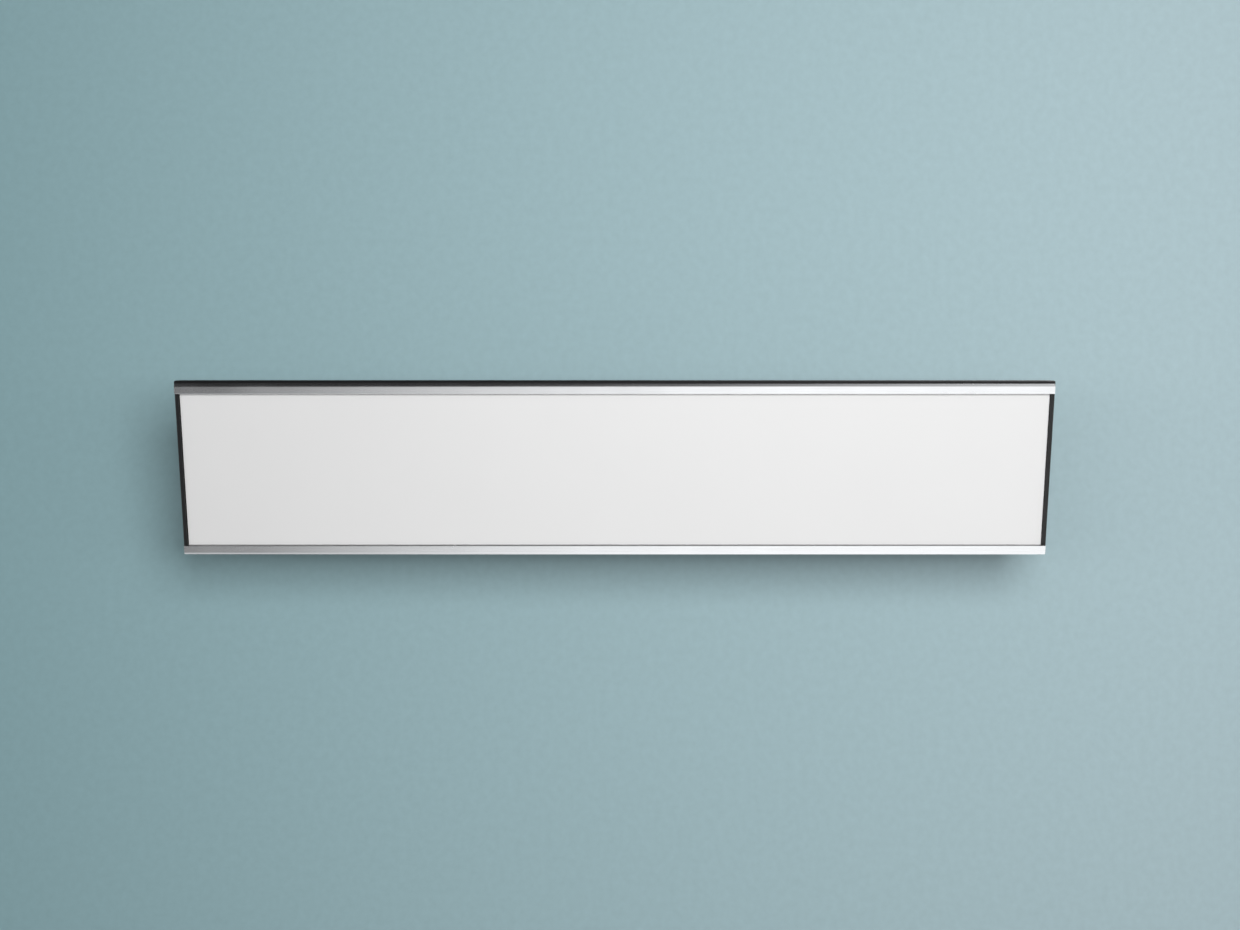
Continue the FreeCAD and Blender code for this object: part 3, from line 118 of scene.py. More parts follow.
class HeaterSizes(bpy.types.PropertyGroup):
    """Sizes of the dressed pieces."""

    glass_edge: length_field("Glass edge", "Radius of the ground edge of the glass", 0.8 * MM)
    trim_nose: length_field(
        "Trim nose", "Radius of the rounded outer front edge of the trims", 3.0 * MM)
    trim_edge: length_field("Trim edge", "Radius of the other long edges of the trims", 0.6 * MM)
    tongue_neck: length_field(
        "Tongue neck", "Height of the neck of the trim's sliding tongue", 2.0 * MM)
    tongue_head: length_field(
        "Tongue head", "Height of the head of the trim's sliding tongue", 5.4 * MM)
    tongue_sheet: length_field(
        "Tongue thickness", "Thickness of the head of the sliding tongue", 2.0 * MM)
    sheet_edge: length_field(
        "Sheet edge", "Rounding of the cut edges of coated sheet metal", 0.45 * MM)
    cover_edge: length_field("Cover edge", "Rounding of the rim of the terminal cover", 0.8 * MM)
    moulded_edge: length_field("Moulded edge", "Rounding of the edges of moulded plastic", 0.6 * MM)
    socket_flats: length_field(
        "Screw socket", "Width over flats of the hexagon socket in the screws", 2.5 * MM)
    socket_depth: length_field("Socket depth", "Depth of the hexagon socket in the screws", 1.5 * MM)
    screw_shank: length_field("Screw shank", "Radius of the thread of the screws", 1.65 * MM)
    countersink: length_field("Countersink", "Depth of the countersunk screw heads", 2.2 * MM)
    rivet_dome: length_field("Rivet dome", "Height of the domed heads of the rivets", 1.4 * MM)
    rivet_body: length_field("Rivet body", "Radius of the bodies of the rivets", 2.4 * MM)


class HeaterColours(bpy.types.PropertyGroup):
    """Colours of the finishes."""

    glass: colour_field("Glass", "Opaque white of the glass front", "#F2F2F2")
    trim: colour_field("Trims", "Clear anodised aluminium", "#E4E6E8")
    coat: colour_field("Black coat", "Powder coat of housing, end plates and brackets", "#0F1011")
    zinc: colour_field("Zinc", "Zinc plating of bolts and nuts", "#C3C6CA")
    black_zinc: colour_field("Black zinc", "Black zinc plating of the screws", "#3A3B3D")


class HeaterStage(bpy.types.PropertyGroup):
    """Camera, lamps, wall and floor."""

    lens: number_field("Lens", "Focal length of the camera in millimetres", 43.05, min=1.0)
    distance: length_field("Camera distance", "From the camera to the middle of the glass", 1.6)
    aside: length_field(
        "Camera aside", "How far right of the heater's middle the camera stands", 0.0057, min=-1.0)
    above: length_field(
        "Camera above", "How far above the middle of the glass the camera stands", 0.0062, min=-1.0)
    key_power: number_field(
        "Key lamp", "Power of the large lamp at the upper right, in watts", 32.2)
    fill: number_field("Fill", "Strength of the room's light from above", 0.16)
    level_fill: number_field("Level fill", "Strength of the room's light at eye level", 1.45)
    ground_fill: number_field("Ground fill", "Strength of the room's light from below", 0.1)
    back_fill: number_field("Back fill", "Strength of the room's light behind the heater", 0.7)
    back_power: number_field("Back lamp", "Power of the lamp behind the heater, in watts", 40.0)
    # Both wall colours are painted light: the left one is a painted shade, darker than the right, standing in for
    # the light that falls from the right
    wall_left_painted_shade: colour_field("Wall on the left", "Colour of the wall left of the heater", "#92B3B9")
    wall_right_painted_light: colour_field(
        "Wall on the right", "Colour of the wall right of the heater", "#B4CBD1")
    floor: colour_field("Floor", "Colour of the floor", "#CDD0D0")
    floor_glow: number_field(
        "Floor glow", "How far the floor keeps its own pale colour where it is seen", 0.6,
        max=1.0, subtype="FACTOR")
    floor_drop: length_field("Floor drop", "How far below the tilt axis the floor lies", 1.1)


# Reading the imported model

def box_of(points):
    """Lowest and highest corner of some points."""
    low = Vector([min(p[i] for p in points) for i in range(3)])
    high = Vector([max(p[i] for p in points) for i in range(3)])
    return low, high


def panel_box(name):
    """Lowest and highest corner of a CAD node in the panel frame."""
    back = PANEL.inverted()
    return box_of([back @ vertex.co for vertex in frame["nodes"][name].data.vertices])


def welded(name):
    """A copy of a CAD node's mesh with its loose triangles joined."""
    bm = bmesh.new()
    bm.from_mesh(frame["nodes"][name].data)
    bmesh.ops.remove_doubles(bm, verts=bm.verts, dist=WELD)
    return bm


def solids(name, place):
    """Lowest and highest corner of each separate solid of a CAD node, in the frame of place."""
    bm = welded(name)
    bmesh.ops.transform(bm, matrix=place.inverted(), verts=bm.verts)
    waiting = set(bm.verts)
    boxes = []
    for start in bm.verts:
        if start not in waiting:
            continue
        waiting.remove(start)
        reached = [start]
        for vertex in reached:
            for edge in vertex.link_edges:
                other = edge.other_vert(vertex)
                if other in waiting:
                    waiting.remove(other)
                    reached.append(other)
        boxes.append(box_of([vertex.co for vertex in reached]))
    bm.free()
    return boxes


# Nodes

def add_node(tree, kind, inputs=None, **settings):
    """Add a node: settings are its properties, inputs are values or the sockets that feed it."""
    made = tree.nodes.new(kind)
    for key, value in settings.items():
        setattr(made, key, value)
    for key, value in (inputs or {}).items():
        if isinstance(value, bpy.types.NodeSocket):
            tree.links.new(value, made.inputs[key])
        else:
            made.inputs[key].default_value = value
    return made


def maths(tree, operation, *values):
    """The result of a math node on numbers or sockets."""
    return add_node(tree, "ShaderNodeMath", dict(enumerate(values)), operation=operation).outputs[0]


def remapped(tree, value, low, high, first=0.0, last=1.0, blend="LINEAR"):
    """A value carried from the range low to high to the range first to last, and held there."""
    return add_node(tree, "ShaderNodeMapRange", {
        "Value": value, "From Min": low, "From Max": high, "To Min": first, "To Max": last,
    }, interpolation_type=blend).outputs[0]


def ramp(tree, value, blend, stops):
    """Greys that follow a value from -1 to 1, given as stops of value and grey."""
    made = add_node(tree, "ShaderNodeValToRGB", {0: remapped(tree, value, -1.0, 1.0)})
    made.color_ramp.interpolation = blend
    elements = made.color_ramp.elements
    while len(elements) < len(stops):
        elements.new(1.0)
    for element, (at, grey) in zip(elements, stops):
        element.position = (at + 1.0) / 2
        element.color = (grey, grey, grey, 1.0)
    return made.outputs[0]


def shade(colour, share):
    """A colour made lighter or darker by a share of itself."""
    return [min(1.0, c * share) for c in colour[:3]] + [1.0]


def tint(tree, factor, first, second):
    """A colour that runs from the first colour to the second; each may be a socket."""
    return add_node(tree, "ShaderNodeMix", {0: factor, 6: first, 7: second},
                    data_type="RGBA").outputs[2]


def noise(tree, place, size_mm, detail, roughness=0.5):
    """A cloudy pattern with cells of size_mm."""
    return add_node(tree, "ShaderNodeTexNoise", {
        "Vector": place, "Scale": per(size_mm), "Detail": detail, "Roughness": roughness,
    }).outputs[0]


def cells(tree, place, size_mm):
    """A pattern of grains of size_mm: the distance from the middle of each."""
    return add_node(tree, "ShaderNodeTexVoronoi", {
        "Vector": place, "Scale": per(size_mm)}).outputs["Distance"]


def lengthways(tree, place, share):
    """Coordinates in which a pattern is drawn out along x, to one over share of its width."""
    return add_node(tree, "ShaderNodeMapping", {
        "Vector": place, "Scale": (share, 1.0, 1.0)}).outputs[0]


def blank_material(name):
    """A material with only its shader and output, and the object coordinates."""
    material = bpy.data.materials.new(name)
    material.use_nodes = True
    tree = material.node_tree
    tree.nodes.clear()
    shader = add_node(tree, "ShaderNodeBsdfPrincipled")
    add_node(tree, "ShaderNodeOutputMaterial", {"Surface": shader.outputs[0]})
    place = add_node(tree, "ShaderNodeTexCoord").outputs["Object"]
    return material, tree, shader, place


def show(tree, surface):
    """Let the material's output show a surface other than its shader."""
    output = next(n for n in tree.nodes if n.bl_idname == "ShaderNodeOutputMaterial")
    tree.links.new(surface, output.inputs["Surface"])


def toned(tree, pattern, colour, dark, light):
    """A colour that varies between two shares of itself with a pattern."""
    return tint(tree, pattern, shade(colour, dark), shade(colour, light))


def skin(tree, shader, colour, tone, gloss, relief=None):
    """Feed the shader's colour, roughness and, where there is relief, its normal.

    tone is a pattern with the darkest and the lightest share of the colour, gloss a pattern with
    the least and the greatest roughness, relief a pattern with its strength and its height in
    millimetres."""
    pattern, dark, light = tone
    tree.links.new(toned(tree, pattern, colour, dark, light), shader.inputs["Base Color"])
    pattern, low, high = gloss
    tree.links.new(remapped(tree, pattern, *PATTERN, low, high), shader.inputs["Roughness"])
    if relief:
        pattern, strength, height_mm = relief
        bump = add_node(tree, "ShaderNodeBump", {
            "Height": pattern, "Strength": strength, "Distance": height_mm * MM})
        tree.links.new(bump.outputs[0], shader.inputs["Normal"])


# Finishes

def white_glass_ceramic():
    # Rolled white glass-ceramic, ground and polished: opaque milk white with a soft gloss, a very
    # slight cloudiness in the mass and the faint ripple of the rolls. The ripple is really a few
    # hundredths of a millimetre high on a 6 mm wave, drawn at that wave.
    material, tree, shader, place = blank_material("white_glass_ceramic_rolled")
    cloud = noise(tree, place, 90, 3.0)
    ripple = noise(tree, place, 6, 1.0)
    skin(tree, shader, bpy.context.scene.heater_colours.glass,
         (cloud, 0.985, 1.01), (ripple, 0.2, 0.26), (ripple, 0.02, 0.05))
    shader.inputs["IOR"].default_value = 1.54
    return material


def brushed_anodised_aluminium():
    # Aluminium extrusion, brushed along its length and clear anodised: a pale satin metal whose
    # reflections blur, with fine streaks that run along x. Real brush lines lie 0.1 mm apart;
    # they are drawn 0.5 mm apart so that they show.
    material, tree, shader, place = blank_material("aluminium_brushed_clear_anodised")
    lines = noise(tree, lengthways(tree, place, 0.012), 0.5, 4.0, 0.6)
    drift = noise(tree, place, 60, 2.0)
    skin(tree, shader, bpy.context.scene.heater_colours.trim,
         (lines, 0.9, 1.06), (drift, 0.22, 0.28), (lines, 0.2, 0.02))
    shader.inputs["Metallic"].default_value = 1.0
    return material


def black_powder_coat(name, peel_mm):
    # Baked black polyester powder on metal: a deep black with a satin sheen that breaks up on an
    # orange-peel skin, and fine pips where the powder flowed less. Real peel is 0.5 to 1 mm wide
    # and a pip 0.1 mm; both are drawn coarser so that they show.
    material, tree, shader, place = blank_material(name)
    peel = noise(tree, place, peel_mm, 2.0, 0.4)
    pips = noise(tree, place, 0.6, 1.0)
    skin(tree, shader, bpy.context.scene.heater_colours.coat,
         (pips, 0.55, 1.6), (peel, 0.34, 0.5), (peel, 0.4, 0.08))
    shader.inputs["IOR"].default_value = 1.48
    return material


def plated_steel(name, colour, low, high):
    # Steel turned or pressed and then zinc plated: a fine mottled metal skin, brighter where the
    # plating is thick. The crystals are about 0.1 mm; they are drawn at 0.8 mm so that they show.
    material, tree, shader, place = blank_material(name)
    mottle = cells(tree, place, 0.8)
    cloud = noise(tree, place, 5, 3.0)
    skin(tree, shader, colour, (cloud, 0.82, 1.08), (mottle, low, high), (mottle, 0.1, 0.02))
    shader.inputs["Metallic"].default_value = 1.0
    return material


def moulded(name, code, ior, low, high, grain_mm):
    # Moulded plastic, rubber or silicone: an even colour with the spark-eroded grain of the mould,
    # drawn as coarse as it needs to show, and slightly uneven gloss.
    material, tree, shader, place = blank_material(name)
    grain = noise(tree, place, grain_mm, 3.0)
    cloud = noise(tree, place, 12, 2.0)
    skin(tree, shader, linear(code), (cloud, 0.88, 1.1), (cloud, low, high), (grain, 0.3, 0.05))
    shader.inputs["IOR"].default_value = ior
    return material


def rolled_metal(name, code, low, high, line_mm):
    # Bare rolled or drawn metal: a mirror-like sheet or a warm brass with faint rolling lines
    # along x, drawn wider apart than the real ones.
    material, tree, shader, place = blank_material(name)
    lines = noise(tree, lengthways(tree, place, 0.03), line_mm, 3.0)
    skin(tree, shader, linear(code), (lines, 0.9, 1.04), (lines, low, high))
    shader.inputs["Metallic"].default_value = 1.0
    return material


def fused_quartz():
    # Drawn fused quartz tube: clear, with long thin draw lines that slightly roughen it.
    material, tree, shader, place = blank_material("quartz_tube_drawn")
    lines = noise(tree, lengthways(tree, place, 0.02), 1.5, 2.0)
    skin(tree, shader, linear("#EEF2F4"), (lines, 0.95, 1.0), (lines, 0.03, 0.1))
    shader.inputs["IOR"].default_value = 1.46
    shader.inputs["Transmission Weight"].default_value = 1.0
    return material


def fibrous(name, code, strand_mm, low, high):
    # Pressed or woven fibre: a dry matt surface of short strands that catch light unevenly,
    # drawn a little coarser than the real fibre.
    material, tree, shader, place = blank_material(name)
    strands = noise(tree, lengthways(tree, place, 0.25), strand_mm, 6.0, 0.7)
    skin(tree, shader, linear(code), (strands, 0.72, 1.2), (strands, low, high), (strands, 0.5, 0.2))
    shader.inputs["IOR"].default_value = 1.5
    return material


def fired_steatite():
    # Pressed and fired steatite: an off-white dense ceramic, dull, with fine dark specks. The
    # specks are about 0.2 mm; they are drawn at 0.9 mm so that they show.
    material, tree, shader, place = blank_material("steatite_pressed_fired")
    specks = cells(tree, place, 0.9)
    cloud = noise(tree, place, 8, 3.0)
    skin(tree, shader, linear("#E3DED2"), (specks, 0.85, 1.05), (cloud, 0.45, 0.6))
    shader.inputs["IOR"].default_value = 1.57
    return material


def finish(slot):
    """The material of one of the record's slots, made the first time it is asked for."""
    colours = bpy.context.scene.heater_colours
    makers = {
        "white_glass": white_glass_ceramic,
        "anodised_aluminium": brushed_anodised_aluminium,
        "quartz": fused_quartz,
        "white_ceramic": fired_steatite,
        # Width of the peel in millimetres
        "black_coated_aluminium": lambda: black_powder_coat("aluminium_powder_coated_black", 1.6),
        "black_coated_steel": lambda: black_powder_coat("steel_powder_coated_black", 2.0),
        # Colour, least and greatest roughness
        "zinc_plated_steel": lambda: plated_steel("steel_zinc_plated", colours.zinc, 0.24, 0.36),
        "black_zinc_steel": lambda: plated_steel(
            "steel_black_zinc_plated", colours.black_zinc, 0.32, 0.45),
        # Colour, refractive index, least and greatest roughness, grain in millimetres
        "silicone": lambda: moulded("silicone_extruded_black", "#1E1F20", 1.41, 0.55, 0.65, 1.2),
        "black_rubber": lambda: moulded("rubber_moulded_black", "#1B1B1B", 1.52, 0.6, 0.75, 1.0),
        "black_nylon": lambda: moulded("nylon_moulded_black", "#1A1B1C", 1.53, 0.4, 0.52, 1.0),
        "white_nylon": lambda: moulded("nylon_moulded_natural", "#E6E3DA", 1.53, 0.4, 0.5, 1.0),
        "brown_phenolic": lambda: moulded("phenolic_moulded_brown", "#5A3420", 1.6, 0.3, 0.45, 0.9),
        # Colour, least and greatest roughness, distance of the lines in millimetres
        "bright_reflector": lambda: rolled_metal("aluminium_bright_rolled", "#F0F1F2", 0.06, 0.16, 1.5),
        "brass": lambda: rolled_metal("brass_turned", "#D9BE7A", 0.22, 0.34, 0.6),
        # Colour, width of a strand in millimetres, least and greatest roughness
        "carbon_ribbon": lambda: fibrous("carbon_fibre_ribbon_woven", "#2E2E2F", 0.8, 0.6, 0.8),
        "fibre_board": lambda: fibrous("ceramic_fibre_board_pressed", "#E0DACB", 1.4, 0.85, 1.0),
        "lead_insulation": lambda: fibrous("glass_silk_sleeve_woven", "#B4543F", 0.7, 0.5, 0.7),
    }
    label = "finish_" + slot
    if label not in bpy.context.scene:
        bpy.context.scene[label] = makers[slot]().name
    return bpy.data.materials[bpy.context.scene[label]]


# Making pieces

def applied(piece):
    """Turn a piece and its modifiers into one plain mesh."""
    graph = bpy.context.evaluated_depsgraph_get()
    mesh = bpy.data.meshes.new_from_object(piece.evaluated_get(graph), depsgraph=graph)
    piece.modifiers.clear()
    old = piece.data
    piece.data = mesh
    bpy.data.meshes.remove(old)
    return piece


def linked(name, data):
    """A new object for a mesh, a lamp or a camera, at the origin."""
    piece = bpy.data.objects.new(name, data)
    bpy.context.scene.collection.objects.link(piece)
    return piece


def settled(piece, node):
    """Shade a piece, give it its finish and let it stand for its CAD node."""
    mesh = piece.data
    mesh.shade_smooth()
    mesh.set_sharp_from_angle(angle=SHARP)
    even = piece.modifiers.new("Even shading", "WEIGHTED_NORMAL")
    even.keep_sharp = True
    applied(piece)
    piece.data.materials.clear()
    piece.data.materials.append(finish(SLOT_OF[node]))
    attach(piece, BODY_OF[node])
    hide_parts(node)
    return piece


def from_bmesh(name, bm, place):
    """An object from a bmesh that was drawn in the frame of place."""
    bmesh.ops.recalc_face_normals(bm, faces=bm.faces)
    bmesh.ops.transform(bm, matrix=place, verts=bm.verts)
    mesh = bpy.data.meshes.new(name)
    bm.to_mesh(mesh)
    bm.free()
    return linked(name, mesh)


def rounded(corners, steps):
    """Points of a closed outline through (a, b, radius) corners, with steps on each arc."""
    points = []
    for i, (a, b, radius) in enumerate(corners):
        corner = Vector((a, b))
        if radius == 0:
            points.append(corner)
            continue
        back = (Vector(corners[i - 1][:2]) - corner).normalized()
        ahead = (Vector(corners[(i + 1) % len(corners)][:2]) - corner).normalized()
        half = back.angle(ahead) / 2
        centre = corner + (back + ahead).normalized() * (radius / math.sin(half))
        start = corner + back * (radius / math.tan(half)) - centre
        stop = corner + ahead * (radius / math.tan(half)) - centre
        turn = math.atan2(start.cross(stop), start.dot(stop))
        for k in range(steps + 1):
            c, s = math.cos(turn * k / steps), math.sin(turn * k / steps)
            points.append(centre + Vector((c * start.x - s * start.y, s * start.x + c * start.y)))
    return points


def draw_along_x(bm, points, x0, x1):
    """A closed (y, z) outline drawn out along x, with its ends closed."""
    near = [bm.verts.new((x0, p.x, p.y)) for p in points]
    far = [bm.verts.new((x1, p.x, p.y)) for p in points]
    for i in range(len(points)):
        j = (i + 1) % len(points)
        bm.faces.new((near[i], near[j], far[j], far[i]))
    bm.faces.new(near)
    bm.faces.new(far)


def edge_rounded(name, width):
    """A CAD node's shape with its sharp edges rounded."""
    bm = welded(name)
    bmesh.ops.dissolve_limit(bm, angle_limit=FLAT, verts=bm.verts, edges=bm.edges)
    mesh = bpy.data.meshes.new(name + "_rounded")
    bm.to_mesh(mesh)
    bm.free()
    piece = linked(name + "_rounded", mesh)
    bevel = piece.modifiers.new("Rounded edges", "BEVEL")
    bevel.limit_method = "ANGLE"
    bevel.angle_limit = CREASE
    bevel.width = width
    bevel.segments = EDGE_STEPS
    applied(piece)
    return settled(piece, name)


# Geometry Nodes for the fasteners

def fastener_tree(name, sizes):
    """A new tree with its named size inputs; returns the tree and the sockets of its inputs."""
    tree = bpy.data.node_groups.new(name, "GeometryNodeTree")
    tree.interface.new_socket("Places", in_out="INPUT", socket_type="NodeSocketGeometry")
    for label in sizes:
        socket = tree.interface.new_socket(label, in_out="INPUT", socket_type="NodeSocketFloat")
        socket.subtype = "DISTANCE"
    tree.interface.new_socket("Finish", in_out="INPUT", socket_type="NodeSocketMaterial")
    tree.interface.new_socket("Fasteners", in_out="OUTPUT", socket_type="NodeSocketGeometry")
    return tree, add_node(tree, "NodeGroupInput").outputs


def turned(tree, profile, radius, height, sides):
    """A turned shape: a (radius, height) profile in shares of two sizes, swept round z."""
    rows = len(profile)
    grid = add_node(tree, "GeometryNodeMeshGrid", {"Vertices X": sides + 1, "Vertices Y": rows})
    index = add_node(tree, "GeometryNodeInputIndex").outputs[0]
    row = maths(tree, "FLOORED_MODULO", index, float(rows))
    column = maths(tree, "FLOOR", maths(tree, "DIVIDE", index, float(rows)))
    angle = maths(tree, "MULTIPLY", column, math.tau / sides)
    pick = add_node(tree, "GeometryNodeIndexSwitch", data_type="VECTOR")
    while len(pick.index_switch_items) < rows:
        pick.index_switch_items.new()
    for i, (across, up) in enumerate(profile):
        pick.inputs[i + 1].default_value = (across, 0.0, up)
    tree.links.new(row, pick.inputs[0])
    scale = add_node(tree, "ShaderNodeCombineXYZ", {"X": radius, "Z": height})
    point = add_node(tree, "ShaderNodeVectorMath", {0: pick.outputs[0], 1: scale.outputs[0]},
                     operation="MULTIPLY")
    point = add_node(tree, "ShaderNodeVectorRotate", {
        "Vector": point.outputs[0], "Angle": angle}, rotation_type="Z_AXIS")
    shape = add_node(tree, "GeometryNodeSetPosition", {
        "Geometry": grid.outputs["Mesh"], "Position": point.outputs[0]})
    shape = add_node(tree, "GeometryNodeMergeByDistance", {
        "Geometry": shape.outputs[0], "Distance": 2 * WELD})
    return shape.outputs[0]


def hexagon_bar(tree, flats, height, middle):
    """A hexagonal bar along z with its middle at a height."""
    bar = add_node(tree, "GeometryNodeMeshCylinder", {
        "Vertices": 6, "Radius": maths(tree, "DIVIDE", flats, math.sqrt(3)), "Depth": height})
    lift = add_node(tree, "ShaderNodeCombineXYZ", {"Z": middle})
    return add_node(tree, "GeometryNodeTransform", {
        "Geometry": bar.outputs["Mesh"], "Translation": lift.outputs[0]}).outputs[0]


def combined(tree, first, second, operation):
    """Two meshes joined, cut or intersected."""
    made = add_node(tree, "GeometryNodeMeshBoolean", operation=operation)
    tree.links.new(first, made.inputs["Mesh 1" if operation == "DIFFERENCE" else "Mesh 2"])
    tree.links.new(second, made.inputs["Mesh 2"])
    return made.outputs["Mesh"]


def close_tree(tree, sizes, shape):
    """Set the shape at every place, facing out, and end the tree."""
    out = add_node(tree, "GeometryNodeInputNamedAttribute", {"Name": "out"}, data_type="FLOAT_VECTOR")
    turn = add_node(tree, "FunctionNodeAlignRotationToVector", {"Vector": out.outputs[0]}, axis="Z")
    each = add_node(tree, "GeometryNodeInstanceOnPoints", {
        "Points": sizes["Places"], "Instance": shape, "Rotation": turn.outputs[0]})
    real = add_node(tree, "GeometryNodeRealizeInstances", {"Geometry": each.outputs[0]})
    coat = add_node(tree, "GeometryNodeSetMaterial", {
        "Geometry": real.outputs[0], "Material": sizes["Finish"]})
    add_node(tree, "NodeGroupOutput", {"Fasteners": coat.outputs[0]})
    return tree


def shank_down(tree, profile, radius, length, sides):
    """A turned shank that reaches down from z = 0."""
    return turned(tree, profile, radius, maths(tree, "MULTIPLY", length, -1.0), sides)


def socket_screw_tree(name, profile, top, start):
    """Screw with a turned head and a hexagon socket in its top, a share of the head's height up.

    Its shank starts at a share of its own length."""
    tree, sizes = fastener_tree(name, (
        "Head radius", "Head height", "Shank radius", "Shank length", "Socket flats", "Socket depth"))
    head = turned(tree, profile, sizes["Head radius"], sizes["Head height"], sides=40)
    shank = shank_down(tree, ((0, 1), (0.7, 1), (1, 0.97), (1, start), (0, start)),
                       sizes["Shank radius"], sizes["Shank length"], sides=24)
    # The bar is twice as long as the socket is deep, and half of it stands above the face
    bar = maths(tree, "MULTIPLY", sizes["Socket depth"], 2.0)
    face = maths(tree, "MULTIPLY", sizes["Head height"], top)
    socket = hexagon_bar(tree, sizes["Socket flats"], bar, face)
    screw = combined(tree, head, shank, "UNION")
    return close_tree(tree, sizes, combined(tree, screw, socket, "DIFFERENCE"))


def rivet_tree():
    """Blind rivet: a low dome with the sunken end of its mandrel, and its body."""
    tree, sizes = fastener_tree("Blind rivets", (
        "Head radius", "Head height", "Body radius", "Body length"))
    profile = ((0, 0.45), (0.24, 0.45), (0.3, 0.92), (0.36, 1), (0.55, 0.93), (0.75, 0.72),
               (0.92, 0.38), (1, 0.1), (1, 0), (0, 0))
    head = turned(tree, profile, sizes["Head radius"], sizes["Head height"], sides=32)
    body = shank_down(tree, ((0, 1), (0.8, 1), (1, 0.9), (1, -0.02), (0, -0.02)),
                      sizes["Body radius"], sizes["Body length"], sides=20)
    return close_tree(tree, sizes, combined(tree, head, body, "UNION"))


def flange_tree(name, nut):
    """Flange nut with a bore, or flange bolt with a shank; z = 0 is the face of the flange."""
    tree, sizes = fastener_tree(name, (
        "Flange radius", "Flange height", "Width over flats", "Hexagon top", "Thread radius",
        "Shank length"))
    flange = turned(tree, ((0, 1), (0.7, 1), (0.96, 0.62), (1, 0.5), (1, 0.12), (0.97, 0), (0, 0)),
                    sizes["Flange radius"], sizes["Flange height"], sides=48)
    half = maths(tree, "MULTIPLY", sizes["Hexagon top"], 0.5)
    bar = hexagon_bar(tree, sizes["Width over flats"], sizes["Hexagon top"], half)
    # A cone a little wider than the hexagon takes the tips off its upper corners
    wide = maths(tree, "MULTIPLY", sizes["Width over flats"], 0.6)
    cone = turned(tree, ((0, 0.999), (0.72, 0.999), (0.8, 0.98), (1, 0.84), (1, 0.01), (0, 0.01)),
                  wide, sizes["Hexagon top"], sides=48)
    body = combined(tree, combined(tree, bar, cone, "INTERSECT"), flange, "UNION")
    if nut:
        bore = turned(tree, ((0, 1.05), (1.06, 1.05), (1.06, 0.97), (1.01, 0.93), (1.01, -0.05),
                             (0, -0.05)), sizes["Thread radius"], sizes["Hexagon top"], sides=32)
        return close_tree(tree, sizes, combined(tree, body, bore, "DIFFERENCE"))
    shank = shank_down(tree, ((0, 1), (0.8, 1), (1, 0.985), (1, -0.005), (0, -0.005)),
                       sizes["Thread radius"], sizes["Shank length"], sides=32)
    return close_tree(tree, sizes, combined(tree, body, shank, "UNION"))


def fasteners(node, tree, seats, sizes):
    """Set a fastener on every (place, direction) seat and keep the result as one plain mesh."""
    name = node + "_set"
    mesh = bpy.data.meshes.new(name)
    mesh.from_pydata([place for place, _ in seats], [], [])
    out = mesh.attributes.new("out", "FLOAT_VECTOR", "POINT")
    for item, (_, direction) in zip(out.data, seats):
        item.vector = direction
    piece = linked(name, mesh)
    modifier = piece.modifiers.new(name, "NODES")
    modifier.node_group = tree
    values = dict(sizes, Finish=finish(SLOT_OF[node]))
    for socket in tree.interface.items_tree:
        if socket.in_out == "INPUT" and socket.name in values:
            modifier[socket.identifier] = values[socket.name]
    applied(piece)
    if not piece.data.polygons:
        raise RuntimeError(name + " came out empty")
    return settled(piece, node)


def seat(place, point, direction):
    """A seat drawn in the frame of place, carried to the shared frame."""
    return place @ Vector(point), (place.to_3x3() @ Vector(direction)).normalized()


def seated(name, place, out, face):
    """Seats for the solids of a CAD node, and the box of the first solid.

    Each seat faces out, in the middle of its solid but at face(low, high) on the axis of out."""
    axis = next(i for i in range(3) if out[i])
    boxes = solids(name, place)
    seats = []
    for low, high in boxes:
        point = (low + high) / 2
        point[axis] = face(low, high)
        seats.append(seat(place, point, out))
    return seats, boxes[0]


def screw_sizes(radius, head, length):
    """Sizes of socket screws, from the radius and height of the head and the shank's length."""
    sizes = bpy.context.scene.heater_sizes
    return {
        "Head radius": radius, "Head height": head, "Shank radius": sizes.screw_shank,
        "Shank length": length, "Socket flats": sizes.socket_flats,
        "Socket depth": sizes.socket_depth,
    }


def flange_sizes(kind, radius, length):
    """Sizes of flange hardware of a kind, from the flange's radius and the shank's length."""
    rim, flats, top, thread = (size * MM for size in kind)
    return {
        "Flange radius": radius, "Flange height": rim, "Width over flats": flats,
        "Hexagon top": top, "Thread radius": thread, "Shank length": length,
    }


# Operators

class HEATER_OT_finishes(bpy.types.Operator):
    """Give every CAD piece the material of its slot"""
    bl_idname = "heater.finishes"
    bl_label = "Finishes"

    def execute(self, context):
        for piece in frame["nodes"].values():
            for slot in piece.material_slots:
                slot.material = finish(slot.material.name)
        return {"FINISHED"}


class HEATER_OT_front_glass(bpy.types.Operator):
    """Build the white glass sheet with its ground edges"""
    bl_idname = "heater.front_glass"
    bl_label = "Front glass"

    def execute(self, context):
        low, high = panel_box("front_glass")
        bm = bmesh.new()
        bmesh.ops.create_cube(bm, size=1.0)
        bmesh.ops.scale(bm, vec=high - low, verts=bm.verts)
        bmesh.ops.translate(bm, vec=(low + high) / 2, verts=bm.verts)
        bmesh.ops.bevel(bm, geom=list(bm.edges), affect="EDGES", segments=GLASS_STEPS, profile=0.5,
                        offset=context.scene.heater_sizes.glass_edge)
        piece = from_bmesh("front_glass_sheet", bm, PANEL)
        settled(piece, "front_glass")
        return {"FINISHED"}


